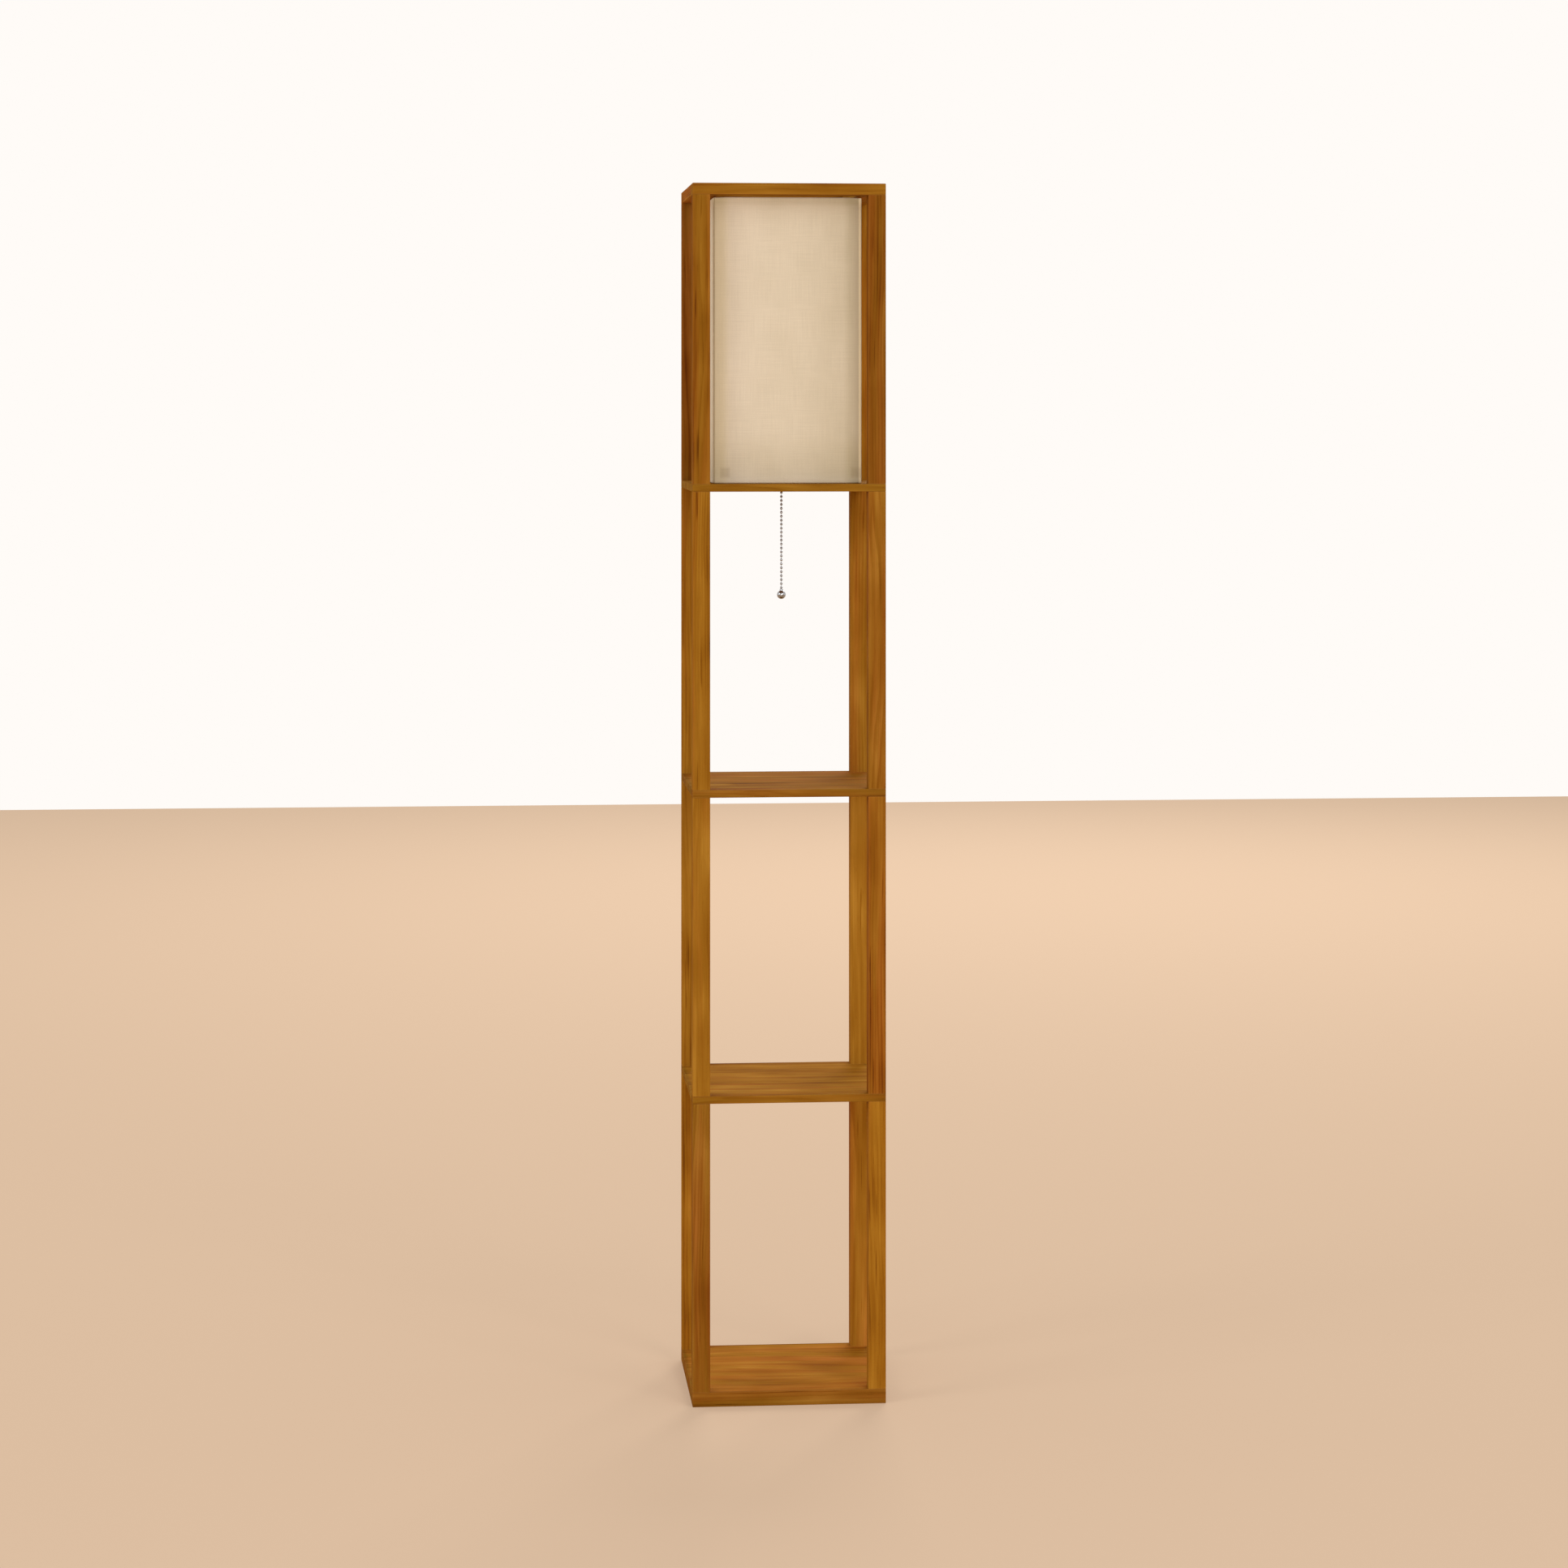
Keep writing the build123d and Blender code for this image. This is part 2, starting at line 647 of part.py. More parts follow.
def bead_string(top_bead_z, count, link_above, link_below):
    """Hollow-look beads on short links, hanging down from the first bead's centre."""
    string = Pos(0, 0, top_bead_z) * Sphere(bead_diameter / 2)
    for bead in range(1, count):
        string += Pos(0, 0, top_bead_z - bead * bead_pitch) * Sphere(bead_diameter / 2)
    low = top_bead_z - (count - 1) * bead_pitch - link_below
    return string + cylinder(bead_link_diameter, top_bead_z + link_above - low, z=low)


def pull_knob():
    """A ball with a short neck, bored for the end of the chain."""
    ball = Pos(0, 0, knob_centre_z) * Sphere(knob_diameter / 2)
    neck = cylinder(knob_neck_diameter, knob_top_z - knob_centre_z, z=knob_centre_z)
    neck = fillet(neck.edges().group_by(Axis.Z)[-1], knob_neck_round)
    bore = bead_link_diameter + 2 * knob_bore_clearance
    return ball + neck - cylinder(bore, knob_bore_depth, z=knob_top_z - knob_bore_depth)


def save_chain():
    """The chain in its three stretches, and the knob."""
    link_reach = bead_pitch - bead_diameter / 2 - bead_play
    save("pull_chain_upper", bead_string(first_bead_z, upper_bead_count, 0, link_reach))
    save("swivel_bead", Pos(0, 0, swivel_z) * Sphere(bead_diameter / 2))
    into_knob = bead_diameter / 2 + bead_play + knob_bore_depth - knob_bore_clearance
    save("pull_chain_lower", bead_string(lower_chain_z, lower_bead_count, link_reach, into_knob))
    save("pull_knob", pull_knob())


def bushing(outer, bore, flange, x, y):
    """A sleeve through the shade shelf, with a flange on top and its lower end flush."""
    sleeve = cylinder(outer, shelf_thickness, z=upper_shelf_z)
    rim = cylinder(flange, bushing_flange_thickness, z=upper_shelf_top)
    sleeve += fillet(rim.edges().group_by(Axis.Z)[-1], bushing_flange_round)
    sleeve -= cylinder(bore, shelf_thickness + bushing_flange_thickness, z=upper_shelf_z)
    return Pos(x, y, 0) * sleeve


def save_bushings():
    """The chain's guide and the mains cord's outlet."""
    save("chain_bushing", bushing(chain_bushing_diameter, chain_bushing_bore, chain_bushing_flange, 0, 0))
    save("cord_bushing", bushing(cord_bushing_diameter, cord_bushing_bore, cord_bushing_flange,
                                 cord_bushing_x, cord_bushing_y))


save_cabinet()
save_top_frame()
save_shade()
save_bracket()
save_lamp_holder()
save_bulb()
save_switch()
save_chain()
save_bushings()
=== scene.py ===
"""Looks of a shelf floor lamp: stained wood tiers, a linen shade, its lamp holder, and a bead pull chain.

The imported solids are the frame. Wood, wire and fittings keep their solids and get their finishes here. The
linen, the bead chain, its knob and the bulb are surfaces worked out with numpy, each over the solid that it
stands for. Lengths are in metres, with the origin under the middle of the base and the front facing -Y.
"""

import logging
import math
from collections.abc import Sequence
from dataclasses import dataclass
from enum import Enum
from typing import ClassVar, NamedTuple

import bmesh
import bpy
import numpy as np
from mathutils import Euler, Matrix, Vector

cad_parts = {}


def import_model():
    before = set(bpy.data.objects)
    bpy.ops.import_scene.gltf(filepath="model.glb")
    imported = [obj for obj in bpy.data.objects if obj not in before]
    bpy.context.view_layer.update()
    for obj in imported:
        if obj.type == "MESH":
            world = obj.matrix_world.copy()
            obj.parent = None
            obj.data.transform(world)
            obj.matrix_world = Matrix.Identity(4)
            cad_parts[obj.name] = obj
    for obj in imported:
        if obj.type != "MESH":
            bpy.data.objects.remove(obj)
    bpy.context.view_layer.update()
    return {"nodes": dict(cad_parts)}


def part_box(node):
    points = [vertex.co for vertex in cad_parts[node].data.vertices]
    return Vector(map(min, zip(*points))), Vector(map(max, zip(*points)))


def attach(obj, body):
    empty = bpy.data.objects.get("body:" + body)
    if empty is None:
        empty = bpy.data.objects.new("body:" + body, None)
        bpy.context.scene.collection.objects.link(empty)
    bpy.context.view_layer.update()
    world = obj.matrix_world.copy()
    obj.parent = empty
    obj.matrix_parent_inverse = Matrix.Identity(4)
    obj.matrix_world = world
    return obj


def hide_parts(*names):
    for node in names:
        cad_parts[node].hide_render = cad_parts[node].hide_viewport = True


LOG = logging.getLogger("shelf_lamp")
MM = 0.001
CORNERS = ("front_left", "front_right", "back_left", "back_right")

Socket = bpy.types.NodeSocket
Material = bpy.types.Material
Object = bpy.types.Object
Colour = tuple[float, float, float, float]
BLACK: Colour = (0.0, 0.0, 0.0, 1.0)


def linear(red: int, green: int, blue: int) -> Colour:
    """Turn a colour as a screen shows it into linear light.

    Args:
        red: from 0 to 255.
        green: the same.
        blue: the same.

    Returns:
        The linear colour with full alpha.
    """
    shares = (red / 255, green / 255, blue / 255)
    light = [c / 12.92 if c <= 0.04045 else ((c + 0.055) / 1.055) ** 2.4 for c in shares]
    return (light[0], light[1], light[2], 1.0)


class Graph:
    """A node tree being built, with short ways to add nodes and join them."""

    def __init__(self, tree: bpy.types.NodeTree) -> None:
        """Start on an existing tree."""
        self.tree = tree

    def add(self, kind: str, **settings: object) -> bpy.types.Node:
        """Add one node.

        Args:
            kind: the node's type name.
            settings: attributes to set on it.

        Returns:
            The new node.
        """
        node = self.tree.nodes.new(kind)
        for name, value in settings.items():
            setattr(node, name, value)
        return node

    def feed(self, target: Socket, value: object) -> None:
        """Join or set one input.

        Args:
            target: the input.
            value: a socket to join to it, or its own value.
        """
        if isinstance(value, bpy.types.NodeSocket):
            self.tree.links.new(value, target)
        else:
            target.default_value = value

    def math(self, operation: str, *values: object) -> Socket:
        """Work out a number.

        Args:
            operation: Blender's name for the sum.
            values: up to three numbers or sockets.

        Returns:
            The result.
        """
        node = self.add("ShaderNodeMath", operation=operation)
        for socket, value in zip(node.inputs, values):
            self.feed(socket, value)
        return node.outputs[0]

    def vector(self, operation: str, *values: object) -> Socket:
        """Work out a vector, or a length.

        Args:
            operation: Blender's name for the sum.
            values: up to three vectors or sockets.

        Returns:
            The result.
        """
        node = self.add("ShaderNodeVectorMath", operation=operation)
        for socket, value in zip(node.inputs, values):
            self.feed(socket, value)
        return node.outputs["Value" if operation == "LENGTH" else "Vector"]

    def texture(self, place: Socket, stretch: Sequence[float], detail: float, rough: float) -> bpy.types.Node:
        """Add a noise texture.

        Args:
            place: the point.
            stretch: features a metre along each axis.
            detail: octaves of finer noise.
            rough: weight of each finer octave.

        Returns:
            The texture's node.
        """
        node = self.add("ShaderNodeTexNoise")
        self.feed(node.inputs["Vector"], self.vector("MULTIPLY", place, tuple(stretch)))
        node.inputs["Scale"].default_value = 1.0
        node.inputs["Detail"].default_value = detail
        node.inputs["Roughness"].default_value = rough
        return node

    def noise(
        self, place: Socket, stretch: Sequence[float], detail: float = 2.0, rough: float = 0.5
    ) -> Socket:
        """Sample soft noise.

        Args:
            place: the point.
            stretch: features a metre along each axis.
            detail: octaves of finer noise.
            rough: weight of each finer octave.

        Returns:
            A value about one half, mostly between 0.25 and 0.75.
        """
        return self.texture(place, stretch, detail, rough).outputs[0]

    def drift(self, place: Socket, stretch: Sequence[float]) -> Socket:
        """Sample three soft noises together, as a vector about zero."""
        colour = self.texture(place, stretch, 2.0, 0.5).outputs["Color"]
        return self.vector("SUBTRACT", colour, (0.5, 0.5, 0.5))

    def smooth(
        self, value: object, low: float, high: float, start: float = 0.0, end: float = 1.0
    ) -> Socket:
        """Ease from one level to another as a value rises, level outside.

        Args:
            value: what rises.
            low: where the first level ends.
            high: where the second level starts.
            start: the first level.
            end: the second level.

        Returns:
            The level.
        """
        node = self.add("ShaderNodeMapRange", interpolation_type="SMOOTHSTEP", clamp=True)
        for socket, given in zip(node.inputs, (value, low, high, start, end)):
            self.feed(socket, given)
        return node.outputs[0]

    def mix(self, share: object, first: object, second: object, blend: str = "MIX") -> Socket:
        """Blend two colours.

        Args:
            share: of the second, from 0 to 1.
            first: a colour or socket.
            second: another.
            blend: Blender's name for the way they blend.

        Returns:
            The blended colour.
        """
        node = self.add("ShaderNodeMix", data_type="RGBA", blend_type=blend)
        self.feed(node.inputs[0], share)
        self.feed(node.inputs[6], first)
        self.feed(node.inputs[7], second)
        return node.outputs[2]

    def tint(self, colour: Socket, red: float, green: float, blue: float) -> Socket:
        """Multiply a colour's three parts."""
        return self.mix(1.0, colour, (red, green, blue, 1.0), "MULTIPLY")

    def ramp(self, value: Socket, stops: Sequence[tuple[float, Colour]]) -> Socket:
        """Turn a value into a colour.

        Args:
            value: from 0 to 1.
            stops: a place and a colour each, in rising order.

        Returns:
            The colour between the nearest two stops.
        """
        node = self.add("ShaderNodeValToRGB")
        elements = node.color_ramp.elements
        while len(elements) < len(stops):
            elements.new(0.5)
        for element, (place, colour) in zip(elements, stops):
            element.position = place
            element.color = colour
        self.feed(node.inputs[0], value)
        return node.outputs[0]

    def split(self, vector: Socket) -> Sequence[Socket]:
        """Take a vector apart.

        Args:
            vector: the vector.

        Returns:
            Its three numbers.
        """
        node = self.add("ShaderNodeSeparateXYZ")
        self.feed(node.inputs[0], vector)
        return node.outputs

    def bump(self, height: Socket, depth: float, strength: float = 1.0) -> Socket:
        """Turn a height into a normal.

        Args:
            height: the relief, from 0 to 1.
            depth: what a height of one stands for.
            strength: share of the relief that is used.

        Returns:
            The normal.
        """
        node = self.add("ShaderNodeBump")
        node.inputs["Distance"].default_value = depth
        node.inputs["Strength"].default_value = strength
        self.feed(node.inputs["Height"], height)
        return node.outputs[0]

    def seen(self) -> Socket:
        """Tell what looks at the surface.

        Returns:
            One for the camera, a mirror or a clear piece, else zero.
        """
        path = self.add("ShaderNodeLightPath").outputs
        direct = self.math("MAXIMUM", path["Is Camera Ray"], path["Is Glossy Ray"])
        return self.math("MAXIMUM", direct, path["Is Transmission Ray"])

    def blend(self, share: Socket, first: Socket, second: Socket, output: str) -> None:
        """Mix two shaders into the tree's output.

        Args:
            share: of the second, from 0 to 1.
            first: a shader.
            second: another.
            output: the name of the output node.
        """
        node = self.add("ShaderNodeMixShader")
        for socket, value in zip(node.inputs, (share, first, second)):
            self.feed(socket, value)
        self.feed(self.tree.nodes[output].inputs["Surface"], node.outputs[0])


class Effect:
    """A shader node group that several materials share.

    Attributes:
        name: the group's name.
        takes: kind of each input by its label.
        gives: kind of each output by its label.
    """

    name = "effect"
    takes: dict[str, str] = {}
    gives: dict[str, str] = {}

    def wire(self, graph: Graph, inputs: dict[str, Socket]) -> dict[str, Socket]:
        """Build the nodes, and return a socket for each output's name."""
        raise NotImplementedError

    def group(self) -> bpy.types.NodeTree:
        """Find the group, or build it at its first use.

        Returns:
            The group's node tree.
        """
        found = bpy.data.node_groups.get(self.name)
        if found:
            return found
        tree = bpy.data.node_groups.new(self.name, "ShaderNodeTree")
        for in_out, sockets in (("INPUT", self.takes), ("OUTPUT", self.gives)):
            for label, kind in sockets.items():
                tree.interface.new_socket(label, in_out=in_out, socket_type="NodeSocket" + kind)
        graph = Graph(tree)
        entry = graph.add("NodeGroupInput")
        leave = graph.add("NodeGroupOutput")
        made = self.wire(graph, {label: entry.outputs[label] for label in self.takes})
        for label, socket in made.items():
            graph.feed(leave.inputs[label], socket)
        return tree

    def place(self, graph: Graph, **values: object) -> dict[str, Socket]:
        """Put the group into a material.

        Args:
            graph: the material's graph.
            values: a socket or value for each input, with _ for a blank in its name.

        Returns:
            The group's outputs by name.
        """
        node = graph.add("ShaderNodeGroup", node_tree=self.group())
        for label, value in values.items():
            graph.feed(node.inputs[label.replace("_", " ")], value)
        return {label: node.outputs[label] for label in self.gives}


@dataclass(frozen=True)
class Layer:
    """One layer of a board's figure.

    Attributes:
        weight: its share of the darkness.
        across: features a metre across the fibres.
        along: features a metre along them.
        octaves: of finer noise.
        rough: weight of each finer octave.
        bends: whether it wanders with the rings.
        marks: where a separate mark starts and is full, or None for an even layer.
    """

    weight: float
    across: float
    along: float
    octaves: float = 2.0
    rough: float = 0.5
    bends: bool = False
    marks: tuple[float, float] | None = None

    def draw(self, graph: Graph, place: Socket, bent: Socket) -> Socket:
        """Sample the layer.

        Args:
            graph: the group's graph.
            place: the point in the tree.
            bent: the same, moved as the rings wander.

        Returns:
            Its darkness there.
        """
        stretch = (self.across, self.across, self.along)
        value = graph.noise(bent if self.bends else place, stretch, self.octaves, self.rough)
        return graph.smooth(value, *self.marks) if self.marks else value


class WoodFigure(Effect):
    """Growth rings, long streaks, fibres and pores of a stained board, its fibres along the place's Z.

    Attributes:
        layers: what is drawn over the rings.
        sway: bends of the rings, a metre.
        pinch: uneven ring widths, a metre.
        pinch_rings: how many rings they shift.
        spells: stretches with strong and weak late wood, a metre.
        patches: reddish patches, a metre.
        late_weight: share of the darkness in a ring's late part.
        palest: darkness of the palest stain.
        stain: colours from the palest to the darkest.
        russet: what the stain is multiplied by where it is reddest.
    """

    name = "wood_figure"
    takes = {"Place": "Vector", "Ring Pitch": "Float", "Waviness": "Float",
             "Tone": "Float", "Warmth": "Float"}
    gives = {"Color": "Color", "Roughness": "Float", "Height": "Float"}
    layers = {
        "fibre": Layer(0.36, 620.0, 11.0, 3.0, 0.6),
        "streak": Layer(0.85, 120.0, 5.0, bends=True),
        "broad": Layer(0.70, 44.0, 2.4, 1.0, bends=True),
        "cloud": Layer(0.28, 13.0, 5.0),
        "blotch": Layer(0.60, 34.0, 13.0, 1.0, bends=True),
        "fleck": Layer(0.34, 310.0, 9.0, 1.0, marks=(0.66, 0.76)),
        "pore": Layer(0.12, 1500.0, 60.0, 1.0, marks=(0.66, 0.74)),
    }
    sway = (9.0, 9.0, 1.7)
    pinch = (70.0, 70.0, 70.0)
    pinch_rings = 1.6
    spells = (26.0, 26.0, 2.6)
    patches = (58.0, 58.0, 2.2)
    late_weight = 0.24
    palest = 1.01
    stain = ((0.0, linear(180, 128, 45)), (0.30, linear(159, 107, 30)), (0.58, linear(143, 91, 20)),
             (0.82, linear(121, 71, 14)), (1.0, linear(93, 49, 10)))
    russet = (1.10, 0.82, 1.15)

    def wire(self, graph: Graph, inputs: dict[str, Socket]) -> dict[str, Socket]:
        """Add the layers to the late wood, turn the sum into stain, and redden it in slow patches.

        Args:
            graph: the group's graph.
            inputs: its input sockets by name.

        Returns:
            The stain's colour, its roughness and its relief.
        """
        place = inputs["Place"]
        waviness = graph.add("ShaderNodeCombineXYZ")
        for socket in waviness.inputs:
            graph.feed(socket, inputs["Waviness"])
        bent = graph.vector("MULTIPLY_ADD", graph.drift(place, self.sway), waviness.outputs[0], place)
        late = self.late_wood(graph, bent, inputs["Ring Pitch"])
        drawn = {name: layer.draw(graph, place, bent) for name, layer in self.layers.items()}
        dark = graph.math("MULTIPLY", late, self.late_weight)
        for name, value in drawn.items():
            dark = graph.math("MULTIPLY_ADD", value, self.layers[name].weight, dark)
        colour = graph.ramp(graph.math("SUBTRACT", dark, self.palest), self.stain)

        patches = graph.math("MULTIPLY_ADD", graph.noise(bent, self.patches), 0.6, 0.2)
        redness = graph.smooth(graph.math("ADD", patches, inputs["Warmth"]), 0.38, 0.66)
        colour = graph.mix(redness, colour, graph.tint(colour, *self.russet))
        toned = graph.add("ShaderNodeHueSaturation")
        graph.feed(toned.inputs["Value"], inputs["Tone"])
        graph.feed(toned.inputs["Color"], colour)

        rough = graph.math("MULTIPLY_ADD", drawn["fibre"], 0.2, 0.62)
        rough = graph.math("MULTIPLY_ADD", drawn["pore"], 0.15, rough)
        height = graph.math("MULTIPLY_ADD", drawn["fibre"], 0.35, graph.math("MULTIPLY", late, 0.25))
        height = graph.math("SUBTRACT", height, drawn["pore"])
        return {"Color": toned.outputs[0], "Roughness": rough, "Height": height}

    def late_wood(self, graph: Graph, bent: Socket, ring_pitch: Socket) -> Socket:
        """Take the share of a ring passed at each distance from the pith, which is dark in its late part.

        Args:
            graph: the group's graph.
            bent: the point from the pith, bent by slow noise.
            ring_pitch: width of a ring.

        Returns:
            From 0 in early wood to 1 in late wood, weaker in some stretches than in others.
        """
        radius = graph.vector("LENGTH", graph.vector("MULTIPLY", bent, (1.0, 1.0, 0.0)))
        uneven = graph.noise(graph.vector("MULTIPLY", bent, (1.0, 1.0, 0.05)), self.pinch)
        count = graph.math("MULTIPLY_ADD", uneven, self.pinch_rings, graph.math("DIVIDE", radius, ring_pitch))
        passed = graph.math("FRACT", count)
        rise, fall = graph.smooth(passed, 0.30, 0.86), graph.smooth(passed, 0.90, 1.0, 1.0, 0.0)
        strong = graph.smooth(graph.noise(bent, self.spells), 0.40, 0.60, 0.2, 1.0)
        return graph.math("MULTIPLY", graph.math("MULTIPLY", rise, fall), strong)


class Arris(Effect):
    """Marks a box-shaped piece's edges, where stain is rubbed thin, and its side faces, which take a painted
    shade.

    Attributes:
        ragged: breaks in the rubbed edge, a metre.
        rubbed: shares of the rubbed width, with the raggedness, between which the wear ends.
        shaded_side: distances from a side face between which its painted shade ends.
    """

    name = "arris"
    takes = {"Place": "Vector", "Middle": "Vector", "Half": "Vector", "Width": "Float"}
    gives = {"Mask": "Float", "End": "Float"}
    ragged = (160.0, 160.0, 160.0)
    rubbed = (0.55, 1.5)
    shaded_side = (0.5 * MM, 7.0 * MM)

    def wire(self, graph: Graph, inputs: dict[str, Socket]) -> dict[str, Socket]:
        """The second smallest distance to the box's three pairs of faces is small only along its edges.

        Args:
            graph: the group's graph.
            inputs: its input sockets by name.

        Returns:
            Masks of the rubbed edges and of the side faces that take a painted shade.
        """
        away = graph.vector("ABSOLUTE", graph.vector("SUBTRACT", inputs["Place"], inputs["Middle"]))
        across, deep, upright = graph.split(graph.vector("SUBTRACT", inputs["Half"], away))
        low = graph.math("MINIMUM", across, deep)
        high = graph.math("MAXIMUM", across, deep)
        second = graph.math("MAXIMUM", low, graph.math("MINIMUM", high, upright))
        share = graph.math("DIVIDE", second, inputs["Width"])
        breaks = graph.noise(inputs["Place"], self.ragged, detail=3.0, rough=0.65)
        near = graph.smooth(graph.math("ADD", share, breaks), *self.rubbed, 1.0, 0.0)
        return {"Mask": near, "End": graph.smooth(low, *self.shaded_side, 1.0, 0.0)}


class PlainWeave(Effect):
    """Over and under threads of a plain weave on a flat map in metres, with slubs and uneven threads.

    Attributes:
        strays: bends of the threads, a metre.
        wander: how far they stray.
        fine: unevenness across a thread, a metre.
        long: unevenness along it.
    """

    name = "plain_weave"
    takes = {"Map": "Vector", "Pitch": "Float"}
    gives = {"Shade": "Float", "Height": "Float", "Gap": "Float"}
    strays = (90.0, 90.0, 1.0)
    wander = 0.9 * MM
    fine = 1100.0
    long = 22.0

    def wire(self, graph: Graph, inputs: dict[str, Socket]) -> dict[str, Socket]:
        """The product of two sines over the thread pitch is positive where the warp lies on top.

        Args:
            graph: the group's graph.
            inputs: its input sockets by name.

        Returns:
            The threads' brightness, their relief, and the gaps between them.
        """
        flat = inputs["Map"]
        lean = graph.drift(flat, self.strays)
        bent = graph.vector("MULTIPLY_ADD", lean, (self.wander, self.wander, 0.0), flat)
        waves = []
        for part in graph.split(bent)[:2]:
            turn = graph.math("DIVIDE", graph.math("MULTIPLY", part, math.pi), inputs["Pitch"])
            waves.append(graph.math("SINE", turn))
        over = graph.math("MULTIPLY", *waves)
        crown = graph.math("ABSOLUTE", over)
        opening = (graph.math("SUBTRACT", 1.0, graph.math("ABSOLUTE", wave)) for wave in waves)
        gap = graph.smooth(graph.math("MULTIPLY", *opening), 0.25, 0.8)
        warp = graph.noise(bent, (self.fine, self.long, 1.0))
        weft = graph.noise(bent, (self.long, self.fine, 1.0))
        top = graph.smooth(over, -0.2, 0.2)
        below = graph.math("MULTIPLY", weft, graph.math("SUBTRACT", 1.0, top))
        thread = graph.math("ADD", graph.math("MULTIPLY", warp, top), below)
        slub = graph.math("ADD", graph.smooth(warp, 0.64, 0.76), graph.smooth(weft, 0.66, 0.78))
        shade = graph.math("MULTIPLY_ADD", thread, 1.2, graph.math("MULTIPLY_ADD", crown, 0.35, -0.25))
        shade = graph.math("MULTIPLY_ADD", slub, -0.3, shade)
        height = graph.math("MULTIPLY_ADD", slub, 0.6, graph.math("MULTIPLY_ADD", thread, 0.5, crown))
        return {"Shade": shade, "Height": height, "Gap": gap}


class Mottle(Effect):
    """Small uneven patches with fine specks, for metal, plastic, ceramic, card and paint."""

    name = "mottle"
    takes = {"Place": "Vector", "Size": "Float"}
    gives = {"Patch": "Float", "Speck": "Float"}

    def wire(self, graph: Graph, inputs: dict[str, Socket]) -> dict[str, Socket]:
        """Two noises over the patch size, the second eight times finer.

        Args:
            graph: the group's graph.
            inputs: its input sockets by name.

        Returns:
            The patches and the specks.
        """
        node = graph.add("ShaderNodeVectorMath", operation="SCALE")
        graph.feed(node.inputs[0], inputs["Place"])
        graph.feed(node.inputs["Scale"], graph.math("DIVIDE", 1.0, inputs["Size"]))
        patch = graph.noise(node.outputs[0], (1.0, 1.0, 1.0), detail=3.0, rough=0.55)
        speck = graph.noise(node.outputs[0], (8.0, 8.0, 8.0), detail=2.0, rough=0.6)
        return {"Patch": graph.smooth(patch, 0.3, 0.7), "Speck": speck}


class Along(Enum):
    """The way a wooden piece's fibres run, as the turn that brings them onto Z."""

    UP = (0.0, 0.0, 0.0)
    ACROSS = (0.0, -math.pi / 2, 0.0)
    DEEP = (math.pi / 2, 0.0, 0.0)


def surface_material(name: str) -> tuple[Material, Graph, bpy.types.Node]:
    """Start a material.

    Args:
        name: the material's name.

    Returns:
        The material, its graph, and its Principled shader.
    """
    material = bpy.data.materials.new(name)
    material.use_nodes = True
    return material, Graph(material.node_tree), material.node_tree.nodes["Principled BSDF"]


def object_place(graph: Graph) -> Socket:
    """The point on the piece, in metres from the lamp's origin."""
    return graph.add("ShaderNodeTexCoord").outputs["Object"]


@dataclass(frozen=True)
class StainedWood:
    """Honey stain and satin lacquer on one board or post.

    Attributes:
        along: the way its fibres run.
        pith: where the tree's heart lies from the piece's middle, across the fibres.
        slide: how far along the tree the piece was cut.
        tone: brightness against the usual stain, matched piece by piece, so on some pieces it also holds
            painted light and shade.
        warmth: from -0.2, amber, to 0.2, russet.
        ring_pitch: width of a growth ring.
        waviness: how far the rings wander.
        painted_side_brightness: brightness of its side faces against its top, as a painted shade.
        squeeze: scale of the figure from front to back, under 1 for broader bands.
        shaded_side_tint: how the colour of its painted side shade leans.
        wear_width: width of the rubbed edges.
        wear: share of the bare wood that shows on them.
        wear_rough: roughness added on them.
        bare: colour of the wood under the stain.
        grain: depth of the fibres' relief.
        shine: level of the lacquer's reflections.
    """

    along: Along
    pith: tuple[float, float]
    slide: float
    tone: float = 1.0
    warmth: float = 0.0
    ring_pitch: float = 4.2 * MM
    waviness: float = 34 * MM
    painted_side_brightness: float = 1.0
    squeeze: float = 1.0
    shaded_side_tint: tuple[float, float, float] = (1.0, 1.06, 1.08)
    wear_width: float = 1.6 * MM
    wear: float = 0.17
    wear_rough: float = 0.08
    bare: Colour = linear(176, 120, 56)
    grain: float = 0.06 * MM
    shine: float = 0.006

    def material(self, node: str) -> Material:
        """Make the wood of one CAD node.

        Args:
            node: the node that it is for.

        Returns:
            Its material.
        """
        low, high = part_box(node)
        middle = (low + high) / 2
        material, graph, shader = surface_material("wood_" + node)
        place = object_place(graph)
        turn = Euler(self.along.value)
        scale = Vector((1.0, self.squeeze, 1.0))
        cut = Vector((*self.pith, self.slide))
        mapping = graph.add("ShaderNodeMapping", vector_type="POINT")
        mapping.inputs["Location"].default_value = cut - turn.to_matrix() @ (middle * scale)
        mapping.inputs["Rotation"].default_value = turn
        mapping.inputs["Scale"].default_value = scale
        graph.feed(mapping.inputs["Vector"], place)
        figure = WoodFigure().place(graph, Place=mapping.outputs[0], Ring_Pitch=self.ring_pitch,
                                    Waviness=self.waviness, Tone=self.tone, Warmth=self.warmth)
        edge = Arris().place(graph, Place=place, Middle=middle, Half=(high - low) / 2, Width=self.wear_width)
        stained = figure["Color"]
        # Painted shade: the side faces are darker than the top.
        if self.painted_side_brightness < 1.0:
            shaded_side = graph.tint(stained, *(part * self.painted_side_brightness for part in self.shaded_side_tint))
            stained = graph.mix(edge["End"], stained, shaded_side)
        worn = graph.math("MULTIPLY", edge["Mask"], self.wear)
        graph.feed(shader.inputs["Base Color"], graph.mix(worn, stained, self.bare))
        rough = graph.math("MULTIPLY_ADD", edge["Mask"], self.wear_rough, figure["Roughness"])
        graph.feed(shader.inputs["Roughness"], rough)
        graph.feed(shader.inputs["Normal"], graph.bump(figure["Height"], self.grain))
        shader.inputs["Specular IOR Level"].default_value = self.shine
        return material


